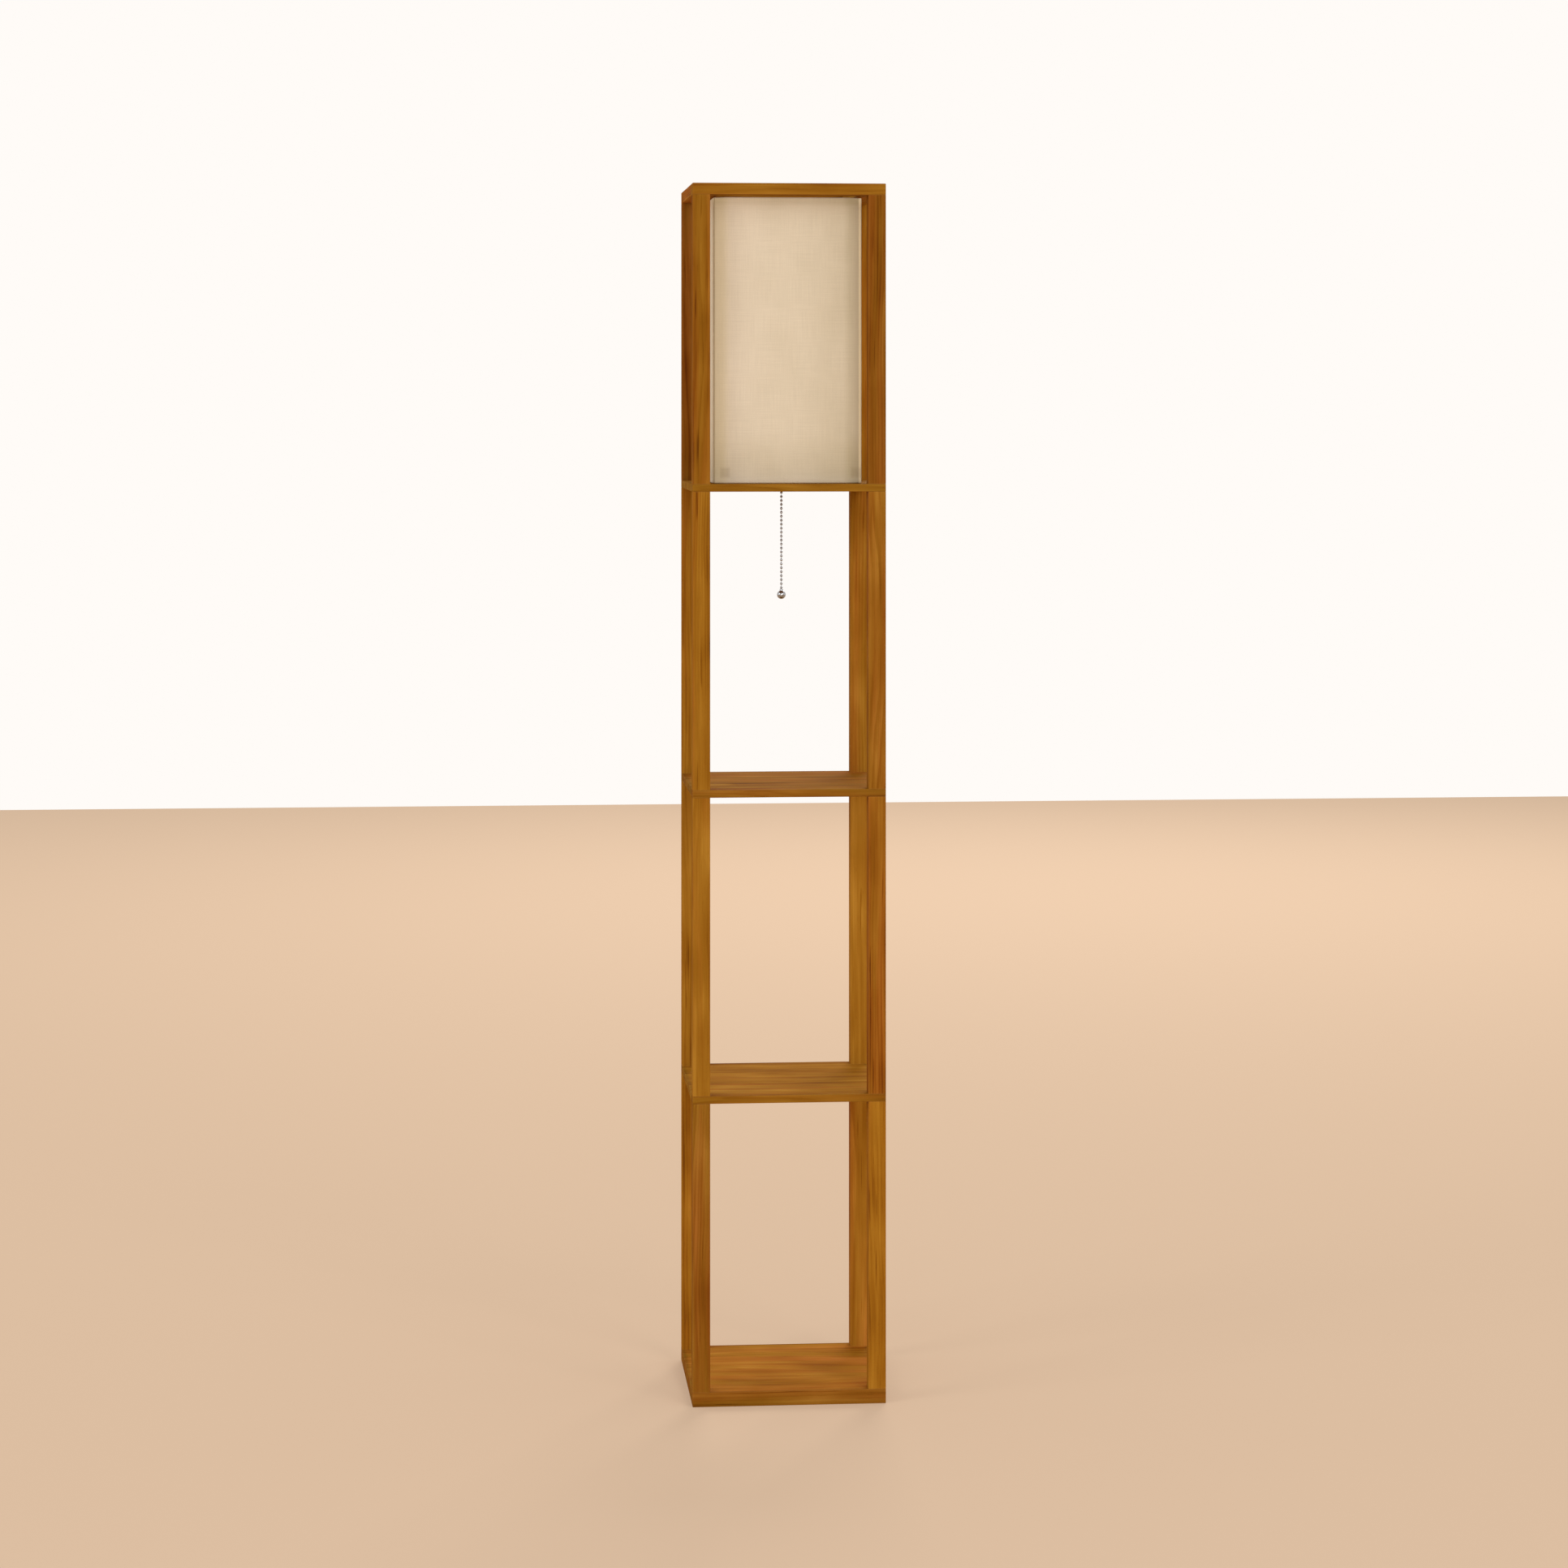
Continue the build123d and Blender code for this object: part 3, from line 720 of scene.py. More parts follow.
class Band(NamedTuple):
    """A band of painted light and shade beside an edge of the linen.

    Attributes:
        edge: distance from that edge.
        near: how far the band is full.
        far: where it has faded out.
        depth: its strength where it is full.
    """

    edge: Socket
    near: float
    far: float
    depth: float

    def fade(self, graph: Graph) -> Socket:
        """The band's strength at each place."""
        return graph.smooth(self.edge, self.near, self.far, self.depth, 0.0)


@dataclass(frozen=True)
class Linen:
    """Natural linen on a stiff backing, with bands of painted shade and painted light along its edges.

    Attributes:
        half_width: from a panel's middle to its folded corner.
        height: a panel's height.
        shadow: how far the linen darkens towards its right post.
        bounce: strength of the painted bounce light off the wood beside it there.
        blocks: the middles of the painted shadows of the corner blocks, in metres across and up.
        clouds: uneven patches across and up, a metre.
        pitch: distance between threads.
        nap: depth of the threads' relief.
        nap_share: share of that relief that is used.
        hollows: what the colour is multiplied by where threads lie deep.
        crowns: what it is multiplied by where they stand up.
        gap_share: share of the backing that shows in a gap.
        roughness: of the threads.
        gap_rough: roughness added in a gap.
        sheen: weight of the fuzz that catches grazing light.
        shine: level of its reflections.
        wood_light: what light off the wood beside it multiplies the colour by.
        pale: the linen in full light.
        dark: the linen at full painted shade.
        fold_highlight: the painted highlight on the fold at its right.
        seam: the painted shade in the corner at its left.
        block_shadow: the painted shadow of the corner blocks seen through the linen.
        backing: what shows between the threads.
        painted_glow: strength of the painted glow near its upper edge, which brightens the shadow under the
            top rail.
        painted_glow_span: how far under the edge that painted glow starts, is full and ends.
    """

    half_width: float
    height: float
    shadow: float = -0.03
    bounce: float = 0.5
    blocks: tuple[tuple[float, float], ...] = ()
    clouds: tuple[float, float, float] = (16.0, 10.0, 1.0)
    pitch: float = 0.62 * MM
    nap: float = 0.10 * MM
    nap_share: float = 0.8
    hollows: tuple[float, float, float] = (0.86, 0.84, 0.81)
    crowns: tuple[float, float, float] = (1.06, 1.06, 1.05)
    gap_share: float = 0.35
    roughness: float = 0.88
    gap_rough: float = 0.06
    sheen: float = 0.15
    shine: float = 0.2
    wood_light: tuple[float, float, float] = (1.04, 1.01, 0.82)
    pale: Colour = linear(254, 239, 217)
    dark: Colour = linear(187, 172, 137)
    fold_highlight: Colour = linear(253, 236, 196)
    seam: Colour = linear(150, 130, 88)
    block_shadow: Colour = linear(158, 134, 100)
    backing: Colour = linear(150, 126, 94)
    painted_glow: float = 0.26
    painted_glow_span: tuple[float, float, float] = (9.5 * MM, 12 * MM, 27.5 * MM)

    def material(self, name: str) -> Material:
        """Make the linen of a panel.

        Args:
            name: the material's name.

        Returns:
            The material, on the panel's own map in metres.
        """
        material, graph, shader = surface_material(name)
        flat = graph.add("ShaderNodeUVMap", uv_map="cloth").outputs[0]
        weave = PlainWeave().place(graph, Map=flat, Pitch=self.pitch)
        across, up = graph.split(flat)[:2]
        under = graph.math("SUBTRACT", self.height, up)
        colour = self.dyed(graph, flat, across, up)
        low, high = graph.tint(colour, *self.hollows), graph.tint(colour, *self.crowns)
        colour = graph.mix(graph.smooth(weave["Shade"], 0.1, 1.1), low, high)
        colour = graph.mix(graph.math("MULTIPLY", weave["Gap"], self.gap_share), colour, self.backing)
        graph.feed(shader.inputs["Base Color"], colour)
        # Painted glow: emission near the upper edge brightens the shadow under the top rail.
        start, full, end = self.painted_glow_span
        glow = graph.math("MINIMUM", graph.smooth(under, start, full, 0.0, self.painted_glow),
                          graph.smooth(under, full, end, self.painted_glow, 0.0))
        graph.feed(shader.inputs["Emission Color"], graph.mix(glow, BLACK, colour))
        shader.inputs["Emission Strength"].default_value = 1.0
        rough = graph.math("MULTIPLY_ADD", weave["Gap"], self.gap_rough, self.roughness)
        graph.feed(shader.inputs["Roughness"], rough)
        graph.feed(shader.inputs["Normal"], graph.bump(weave["Height"], self.nap, self.nap_share))
        shader.inputs["Sheen Weight"].default_value = self.sheen
        shader.inputs["Specular IOR Level"].default_value = self.shine
        return material

    def dyed(self, graph: Graph, flat: Socket, across: Socket, up: Socket) -> Socket:
        """Colour the cloth with painted shade and painted light along its edges, before its threads.

        Args:
            graph: the material's graph.
            flat: the point on the cloth.
            across: its distance from the middle.
            up: its height.

        Returns:
            The colour.
        """
        left = graph.math("ADD", across, self.half_width)
        right = graph.math("SUBTRACT", self.half_width, across)
        under = graph.math("SUBTRACT", self.height, up)
        painted_shade_and_patches = graph.math("MULTIPLY_ADD", graph.noise(flat, self.clouds, detail=3.0), 0.3, 0.25)
        # Painted shade from the posts, the shelf and the top rail; a depth below zero is painted light.
        bands = (
            Band(left, 9 * MM, 22 * MM, 0.17), Band(left, 30 * MM, 85 * MM, -0.13),
            Band(right, 14 * MM, 26 * MM, self.shadow), Band(right, 30 * MM, 95 * MM, self.shadow),
            Band(up, 22 * MM, 75 * MM, 0.17), Band(up, 2 * MM, 12 * MM, -0.09),
            Band(under, 3 * MM, 16 * MM, -0.75), Band(under, 19 * MM, 25 * MM, 0.19),
            Band(under, 25 * MM, 55 * MM, 0.05),
        )
        for band in bands:
            painted_shade_and_patches = graph.math("ADD", painted_shade_and_patches, band.fade(graph))
        painted_shade_and_patches = graph.math("MAXIMUM", graph.math("MINIMUM", painted_shade_and_patches, 1.0), 0.0)
        colour = graph.mix(painted_shade_and_patches, self.pale, self.dark)
        # Painted bounce light off the wood beside each edge.
        painted_bounce = graph.math("MAXIMUM", Band(left, 8 * MM, 26 * MM, 0.55).fade(graph),
                          Band(right, 20 * MM, 50 * MM, self.bounce).fade(graph))
        colour = graph.mix(painted_bounce, colour, graph.tint(colour, *self.wood_light))
        # Painted highlight on the fold at the right.
        colour = graph.mix(Band(right, 2.2 * MM, 4.6 * MM, 1.0).fade(graph), colour, self.fold_highlight)
        # Painted shade in the corner at the left.
        colour = graph.mix(Band(left, 0.8 * MM, 2.6 * MM, 0.5).fade(graph), colour, self.seam)
        # Painted shadows of the corner blocks seen through the linen.
        for x, z in self.blocks:
            reach = [graph.math("ABSOLUTE", graph.math("SUBTRACT", *pair)) for pair in ((across, x), (up, z))]
            outside = Band(graph.math("MAXIMUM", *reach), 4 * MM, 8.5 * MM, 0.26)
            colour = graph.mix(outside.fade(graph), colour, self.block_shadow)
        return colour


@dataclass(frozen=True)
class Finish:
    """A made surface of one colour, with the small unevenness that it has in life.

    Attributes:
        colour: its main colour.
        second: the colour of its patches.
        metallic: 1 for bare or plated metal, else 0.
        roughness: of its smoothest patches.
        uneven: roughness added on the others.
        patch: size of the patches.
        relief: depth of its fine relief.
        coat: weight of a clear gloss on top.
        coat_rough: roughness of that gloss.
    """

    colour: Colour
    second: Colour
    metallic: float = 0.0
    roughness: float = 0.4
    uneven: float = 0.12
    patch: float = 4 * MM
    relief: float = 0.02 * MM
    coat: float = 0.0
    coat_rough: float = 0.08

    def material(self, name: str) -> Material:
        """Make the material.

        Args:
            name: its name.

        Returns:
            The material.
        """
        material, graph, shader = surface_material(name)
        mottle = Mottle().place(graph, Place=object_place(graph), Size=self.patch)
        graph.feed(shader.inputs["Base Color"], graph.mix(mottle["Patch"], self.colour, self.second))
        rough = graph.math("MULTIPLY_ADD", mottle["Patch"], self.uneven, self.roughness)
        graph.feed(shader.inputs["Roughness"], rough)
        graph.feed(shader.inputs["Normal"], graph.bump(mottle["Speck"], self.relief))
        shader.inputs["Metallic"].default_value = self.metallic
        shader.inputs["Coat Weight"].default_value = self.coat
        shader.inputs["Coat Roughness"].default_value = self.coat_rough
        return material


FINISHES = {
    "plain_wood": Finish(linear(214, 182, 134), linear(196, 160, 110), roughness=0.6, patch=3 * MM),
    "white_wire": Finish(
        linear(226, 224, 216), linear(214, 211, 200), roughness=0.32, patch=6 * MM, coat=0.2),
    "zinc_steel": Finish(
        linear(196, 198, 202), linear(170, 174, 180), metallic=1.0, roughness=0.34, uneven=0.16,
        patch=5 * MM, relief=0.01 * MM),
    "brass": Finish(
        linear(214, 178, 104), linear(190, 150, 80), metallic=1.0, roughness=0.26, uneven=0.18,
        patch=4 * MM, relief=0.01 * MM),
    "bright_nickel": Finish(
        linear(178, 179, 181), linear(160, 162, 165), metallic=1.0, roughness=0.10, uneven=0.10,
        patch=3 * MM, relief=0.003 * MM),
    "porcelain": Finish(
        linear(236, 233, 224), linear(226, 222, 210), roughness=0.3, patch=2 * MM, coat=0.5),
    "liner_card": Finish(
        linear(150, 124, 92), linear(126, 102, 74), roughness=0.85, patch=1.5 * MM, relief=0.06 * MM),
    "black_plastic": Finish(
        linear(34, 32, 31), linear(46, 43, 41), roughness=0.38, patch=2 * MM, relief=0.03 * MM),
    "white_plastic": Finish(
        linear(232, 231, 226), linear(224, 222, 214), roughness=0.34, patch=8 * MM, coat=0.1),
    "opal_plastic": Finish(
        linear(240, 238, 230), linear(234, 230, 220), roughness=0.28, patch=12 * MM, coat=0.1),
    "black_glass": Finish(linear(22, 22, 26), linear(34, 32, 38), roughness=0.12, patch=3 * MM, coat=0.6),
}


class Workshop:
    """Makes each shared finish once, and dresses nodes and pieces with it."""

    def __init__(self, nodes: dict[str, Object]) -> None:
        """Keep the frame's nodes."""
        self.nodes = nodes
        self.made: dict[str, Material] = {}

    def finish(self, slot: str) -> Material:
        """Find or make a shared finish.

        Args:
            slot: its name in FINISHES.

        Returns:
            Its material.
        """
        if slot not in self.made:
            self.made[slot] = FINISHES[slot].material(slot)
        return self.made[slot]

    def dress(self, slot: str, *names: str) -> None:
        """Give CAD nodes a shared finish."""
        for name in names:
            self.paint(self.nodes[name], self.finish(slot))

    def panel(self, woods: dict[str, StainedWood]) -> None:
        """Give CAD nodes each its own wood."""
        for name, wood in woods.items():
            self.paint(self.nodes[name], wood.material(name))

    @staticmethod
    def paint(piece: Object, material: Material) -> None:
        """Put one material on every slot of a piece.

        Args:
            piece: the piece.
            material: what it is made of.
        """
        if not piece.material_slots:
            piece.data.materials.append(material)
        for slot in piece.material_slots:
            slot.material = material
        LOG.info("%s: %s", piece.name, material.name)

    def add(self, piece: Object, slot: str, body: str, *replaced: str) -> Object:
        """Dress a new piece, and let it ride on its body.

        Args:
            piece: the new piece.
            slot: its shared finish.
            body: the CAD body that it moves with.
            replaced: CAD nodes that it stands for.

        Returns:
            The piece.
        """
        self.paint(piece, self.finish(slot))
        if replaced:
            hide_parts(*replaced)
        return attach(piece, body)


def grid_faces(rows: int, columns: int, around: bool) -> np.ndarray:
    """Corners of the quads between neighbours on a grid.

    Args:
        rows: points one way.
        columns: points the other way.
        around: whether the last column joins the first.

    Returns:
        One row of four point numbers a quad.
    """
    quads_across = columns if around else columns - 1
    row, column = np.meshgrid(np.arange(rows - 1), np.arange(quads_across), indexing="ij")
    right = (column + 1) % columns
    quads = np.stack([row * columns + column, row * columns + right,
                      (row + 1) * columns + right, (row + 1) * columns + column], axis=-1)
    return quads.reshape(-1, 4)


def linked(name: str, data: bpy.types.ID) -> Object:
    """Make an object, and link it to the scene.

    Args:
        name: the object's name.
        data: its mesh, light or camera.

    Returns:
        The object, at the origin.
    """
    piece = bpy.data.objects.new(name, data)
    bpy.context.scene.collection.objects.link(piece)
    return piece


def mesh_object(name: str, points: np.ndarray, faces: np.ndarray, sharp: float = 40.0) -> Object:
    """Make a welded, smooth shaded object from points and quads.

    Args:
        name: the object's name.
        points: one place a row.
        faces: one quad's point numbers a row.
        sharp: edges that turn by more than this many degrees stay sharp.

    Returns:
        The object, linked to the scene, at the origin.
    """
    mesh = bpy.data.meshes.new(name)
    mesh.from_pydata(points.tolist(), [], faces.tolist())
    shell = bmesh.new()
    shell.from_mesh(mesh)
    bmesh.ops.remove_doubles(shell, verts=shell.verts, dist=1e-7)
    bmesh.ops.recalc_face_normals(shell, faces=shell.faces)
    shell.to_mesh(mesh)
    shell.free()
    mesh.shade_smooth()
    mesh.set_sharp_from_angle(angle=math.radians(sharp))
    return linked(name, mesh)


def turned_grid(outline: np.ndarray, steps: int) -> tuple[np.ndarray, np.ndarray]:
    """Carry an outline round the lamp's axis.

    Each point is (radius cos angle, radius sin angle, height), for equal angles.

    Args:
        outline: one (radius, height) a row.
        steps: angles in a turn.

    Returns:
        The points and the quads.
    """
    angle = np.linspace(0.0, 2 * math.pi, steps, endpoint=False)
    radius, height = outline[:, :1], outline[:, 1:]
    points = np.stack([radius * np.cos(angle), radius * np.sin(angle), height + 0 * angle], axis=-1)
    return points.reshape(-1, 3), grid_faces(len(outline), steps, True)


def arc(middle: tuple[float, float], radius: float, start: float, end: float, count: int) -> np.ndarray:
    """Points on a circle in the outline's plane, from start to end in degrees."""
    angle = np.radians(np.linspace(start, end, count))
    return np.stack([middle[0] + radius * np.cos(angle), middle[1] + radius * np.sin(angle)], axis=1)


def closed(low: float, side: np.ndarray, high: float) -> np.ndarray:
    """Close an outline to the axis, below at height low and above at height high."""
    return np.concatenate([[[0.0, low]], side, [[0.0, high]]])


def repeated(points: np.ndarray, faces: np.ndarray, heights: np.ndarray) -> tuple[np.ndarray, np.ndarray]:
    """Copy one shell to several heights.

    Args:
        points: the shell's points.
        faces: its quads.
        heights: how far up each copy is moved.

    Returns:
        All the points and quads.
    """
    lift = np.stack([0 * heights, 0 * heights, heights], axis=-1)[:, None, :]
    every = (points[None] + lift).reshape(-1, 3)
    shift = (np.arange(len(heights)) * len(points))[:, None, None]
    return every, (faces[None] + shift).reshape(-1, 4)


@dataclass
class Cabinet:
    """Base board, three shelves, sixteen posts, and what joins them.

    Attributes:
        shop: makes and puts on the finishes.
        seed: start of the draw of each post's place in the tree.
        reach: least and most distance of a post from the pith.
        slide: how far along the tree a post may be cut, either way.
        rings: least and most width of a post's growth ring.
        board_waviness: how far the rings of a board wander.
        posts: tone and warmth of each tier's posts, in the order of CORNERS.
    """

    shop: Workshop
    seed: int = 11
    reach: tuple[float, float] = (30 * MM, 90 * MM)
    slide: float = 3.0
    rings: tuple[float, float] = (3.0 * MM, 5.5 * MM)
    board_waviness: float = 50 * MM
    # Tones matched one by one hold painted light and shade besides the wood's own tone; the shade tier's
    # back-left post is darkened where the linen shades it.
    posts: ClassVar[dict[str, tuple[tuple[float, float], ...]]] = {
        "lower": ((0.78, 0.0), (1.15, -0.09), (1.17, -0.15), (1.10, -0.02)),
        "middle": ((0.98, -0.10), (0.92, 0.0), (1.04, -0.08), (1.11, -0.15)),
        "display": ((0.98, -0.14), (0.83, 0.0), (1.03, -0.07), (0.97, -0.05)),
        "shade": ((0.86, -0.03), (0.70, 0.04), (0.65, 0.08), (1.10, -0.10)),
    }

    def dress(self) -> None:
        """Give each board and post its own cut of the stained wood."""
        draw = np.random.default_rng(self.seed)
        for tier, looks in self.posts.items():
            for corner, (tone, warmth) in zip(CORNERS, looks):
                angle = draw.uniform(0, 2 * math.pi)
                reach = draw.uniform(*self.reach)
                pith = (reach * math.cos(angle), reach * math.sin(angle))
                slide = draw.uniform(-self.slide, self.slide)
                wood = StainedWood(Along.UP, pith, slide, tone, warmth, draw.uniform(*self.rings))
                self.shop.panel({f"post_{tier}_{corner}": wood})
        # Each board's side faces get a painted shade against its top.
        self.shop.panel({
            "base_board": StainedWood(
                Along.ACROSS, pith=(0.062, 0.03), slide=1.3, tone=1.19, warmth=0.0, ring_pitch=5.2 * MM,
                waviness=self.board_waviness, painted_side_brightness=0.69, squeeze=0.5),
            "shelf_lower": StainedWood(
                Along.ACROSS, pith=(-0.05, -0.04), slide=-0.7, tone=1.18, warmth=-0.11, ring_pitch=4.8 * MM,
                waviness=self.board_waviness, painted_side_brightness=0.76),
            "shelf_middle": StainedWood(
                Along.ACROSS, pith=(0.048, 0.05), slide=2.2, tone=1.0, warmth=-0.04, ring_pitch=5.0 * MM,
                waviness=self.board_waviness, painted_side_brightness=0.79),
            "shelf_upper": StainedWood(
                Along.ACROSS, pith=(-0.06, 0.02), slide=-1.9, tone=1.0, warmth=-0.20, ring_pitch=5.0 * MM,
                waviness=self.board_waviness, painted_side_brightness=0.86),
        })
        self.shop.dress("zinc_steel", "base_screws", "post_studs")
        self.shop.dress("brass", "post_inserts")


@dataclass
class TopFrame:
    """The four rails over the posts, open in the middle, and their dowels."""

    shop: Workshop

    def dress(self) -> None:
        """Give each rail its own cut of the stained wood, its fibres along its length."""
        self.shop.panel({
            "top_rail_front": StainedWood(
                Along.ACROSS, pith=(0.045, 0.02), slide=0.4, tone=0.93, warmth=-0.12, ring_pitch=4.5 * MM),
            "top_rail_back": StainedWood(
                Along.ACROSS, pith=(-0.05, 0.03), slide=2.9, warmth=0.03, ring_pitch=4.5 * MM),
            "top_rail_left": StainedWood(
                Along.DEEP, pith=(0.03, 0.05), slide=-2.1, tone=0.97, warmth=0.02),
            "top_rail_right": StainedWood(
                Along.DEEP, pith=(-0.04, 0.03), slide=1.6, warmth=-0.02),
        })
        self.shop.dress("plain_wood", "top_dowels")


@dataclass
class Shade:
    """Linen panels over a wire frame, and the blocks that locate it.

    Attributes:
        shop: makes and puts on the finishes.
        corner: radius of the linen's folded corners.
        thickness: of linen and backing.
        seam: from each panel's edge to the middle of the corner.
        ring_inset: from the linen's face to the hoop's centreline.
        ring_clear: from the hoop's centreline up over it to the linen's face.
        ripple: how far the linen strays from flat.
        ripple_across: how fast it strays across, in radians a metre.
        ripple_up: how fast it strays upwards, in radians a metre.
        ripple_shift: by how much each panel's ripple differs from the last, in radians.
        tuck: from a corner to where the roll starts to grow.
        tuck_run: how far it grows until it is full.
        tuck_share: share of the roll at the corners.
        fold_steps: quads round half a corner.
        run_steps: quads from corner to corner.
        roll_steps: quads over a hoop.
        climb_steps: quads from hoop to hoop.
        front: the painted shade and light that only the front panel's linen has.
    """

    shop: Workshop
    corner: float = 1.6 * MM
    thickness: float = 0.45 * MM
    seam: float = 0.06 * MM
    ring_inset: float = 2.55 * MM
    ring_clear: float = 2.05 * MM
    ripple: float = 0.12 * MM
    ripple_across: float = 37.0
    ripple_up: float = 23.0
    ripple_shift: float = 2.0
    tuck: float = 6 * MM
    tuck_run: float = 9 * MM
    tuck_share: float = 0.33
    fold_steps: int = 5
    run_steps: int = 40
    roll_steps: int = 12
    climb_steps: int = 60
    front: ClassVar[dict[str, object]] = {
        "shadow": 0.165, "bounce": 0.0, "blocks": ((-82.5 * MM, 12.5 * MM), (90.5 * MM, 12.5 * MM)),
    }

    def build(self) -> None:
        """Make the four panels, each over its own solid."""
        low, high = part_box("shade_panel_front")
        half = (high.x - low.x) / 2
        ring_low, ring_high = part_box("shade_ring_bottom"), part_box("shade_ring_top")
        levels = ((ring_low[0].z + ring_low[1].z) / 2, (ring_high[0].z + ring_high[1].z) / 2)
        for turns, side in enumerate(("front", "right", "back", "left")):
            piece, width, height = self.panel("linen_" + side, half, levels, turns)
            linen = Linen(width / 2, height, **(self.front if side == "front" else {}))
            self.shop.paint(piece, linen.material("linen_" + side))
            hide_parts("shade_panel_" + side)
            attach(piece, "cabinet")

    def panel(
        self, name: str, half: float, levels: tuple[float, float], turns: int
    ) -> tuple[Object, float, float]:
        """Make one panel, folded half round each corner and rolled over both hoops.

        Across, the path is an eighth of a circle, a straight run and an eighth of a circle. Upwards it is a
        roll, a straight run and a roll. A point is the path's place across, moved in along the path's normal
        by the roll.

        Args:
            name: the panel's name.
            half: from the lamp's axis to the linen's face.
            levels: heights of the two hoops' centrelines.
            turns: quarter turns from the front, anticlockwise from above.

        Returns:
            The piece, and its flat width and height.
        """
        flat_half = half - self.corner
        fold = np.radians(np.linspace(0.0, 45.0 - math.degrees(self.seam / self.corner), self.fold_steps + 1))
        run = np.linspace(-flat_half, flat_half, self.run_steps + 1)
        normal = np.concatenate([-fold[:0:-1], 0 * run, fold[1:]])
        side = np.full(self.fold_steps, flat_half)
        start = np.concatenate([-side, run, side])
        across = start + self.corner * normal
        roll = np.radians(np.linspace(0.0, 180.0, self.roll_steps + 1))
        climb = np.linspace(levels[0], levels[1], self.climb_steps + 1)
        angle = np.concatenate([roll[:0:-1], 0 * climb, roll[1:]])
        hoop = np.ones(self.roll_steps)
        level = np.concatenate([levels[0] * hoop, climb, levels[1] * hoop])
        sign = np.concatenate([-hoop, 0 * climb, hoop])
        mean = (self.ring_inset + self.ring_clear) / 2
        up = level - levels[0] + sign * mean * angle

        ease = np.clip((flat_half - np.abs(start) - self.tuck) / self.tuck_run, 0.0, 1.0)
        rolled = angle[:, None] * (self.tuck_share + (1 - self.tuck_share) * ease * ease * (3 - 2 * ease))
        inward = self.ring_inset * (1 - np.cos(rolled))
        height = level[:, None] + sign[:, None] * self.ring_clear * np.sin(rolled)
        bow = np.sin(math.pi * (level - levels[0]) / (levels[1] - levels[0])) * (angle == 0)
        wave = bow * np.cos(self.ripple_up * level)
        inward = inward + self.ripple * wave[:, None] * np.sin(
            self.ripple_across * start + self.ripple_shift * turns)
        radius = self.corner - inward
        x = start + radius * np.sin(normal)
        y = -flat_half - radius * np.cos(normal)
        cos, sin = math.cos(turns * math.pi / 2), math.sin(turns * math.pi / 2)
        points = np.stack([x * cos - y * sin, x * sin + y * cos, height + 0 * x], axis=-1)

        mesh = bpy.data.meshes.new(name)
        faces = grid_faces(len(level), len(start), False)
        mesh.from_pydata(points.reshape(-1, 3).tolist(), [], faces.tolist())
        flat = np.stack(np.broadcast_arrays(across, up[:, None]), axis=-1).reshape(-1, 2)
        cloth = mesh.uv_layers.new(name="cloth")
        cloth.data.foreach_set("uv", flat[faces.reshape(-1)].astype(np.float32).ravel())
        mesh.shade_smooth()
        piece = linked(name, mesh)
        wall = piece.modifiers.new("wall", "SOLIDIFY")
        wall.thickness = self.thickness
        wall.offset = -1.0
        return piece, float(across[-1] - across[0]), float(up[-1] - up[0])

    def dress(self) -> None:
        """Paint the wire frame white and leave the blocks bare."""
        self.shop.dress("white_wire", "shade_ring_top", "shade_ring_bottom", "shade_uprights")
        self.shop.dress("plain_wood", "shade_corner_blocks")


@dataclass
class LampHolder:
    """The bridge over the chain hole and the lamp holder on it."""

    shop: Workshop

    def dress(self) -> None:
        """Give each fitting its finish."""
        self.shop.dress("zinc_steel", "lamp_bracket", "bracket_screws", "holder_nipple", "nipple_nut")
        self.shop.dress("bright_nickel", "socket_cap", "socket_shell")
        self.shop.dress("liner_card", "socket_liner")
        self.shop.dress("brass", "screw_shell", "centre_contact")
        self.shop.dress("porcelain", "socket_core")
        self.shop.dress("black_plastic", "cord_bushing")


@dataclass
class PullSwitch:
    """The switch under the bridge."""

    shop: Workshop

    def dress(self) -> None:
        """Give each part its finish."""
        self.shop.dress("black_plastic", "switch_case", "switch_cam", "chain_bushing")
        self.shop.dress("bright_nickel", "pull_link")
        self.shop.dress("zinc_steel", "return_spring")


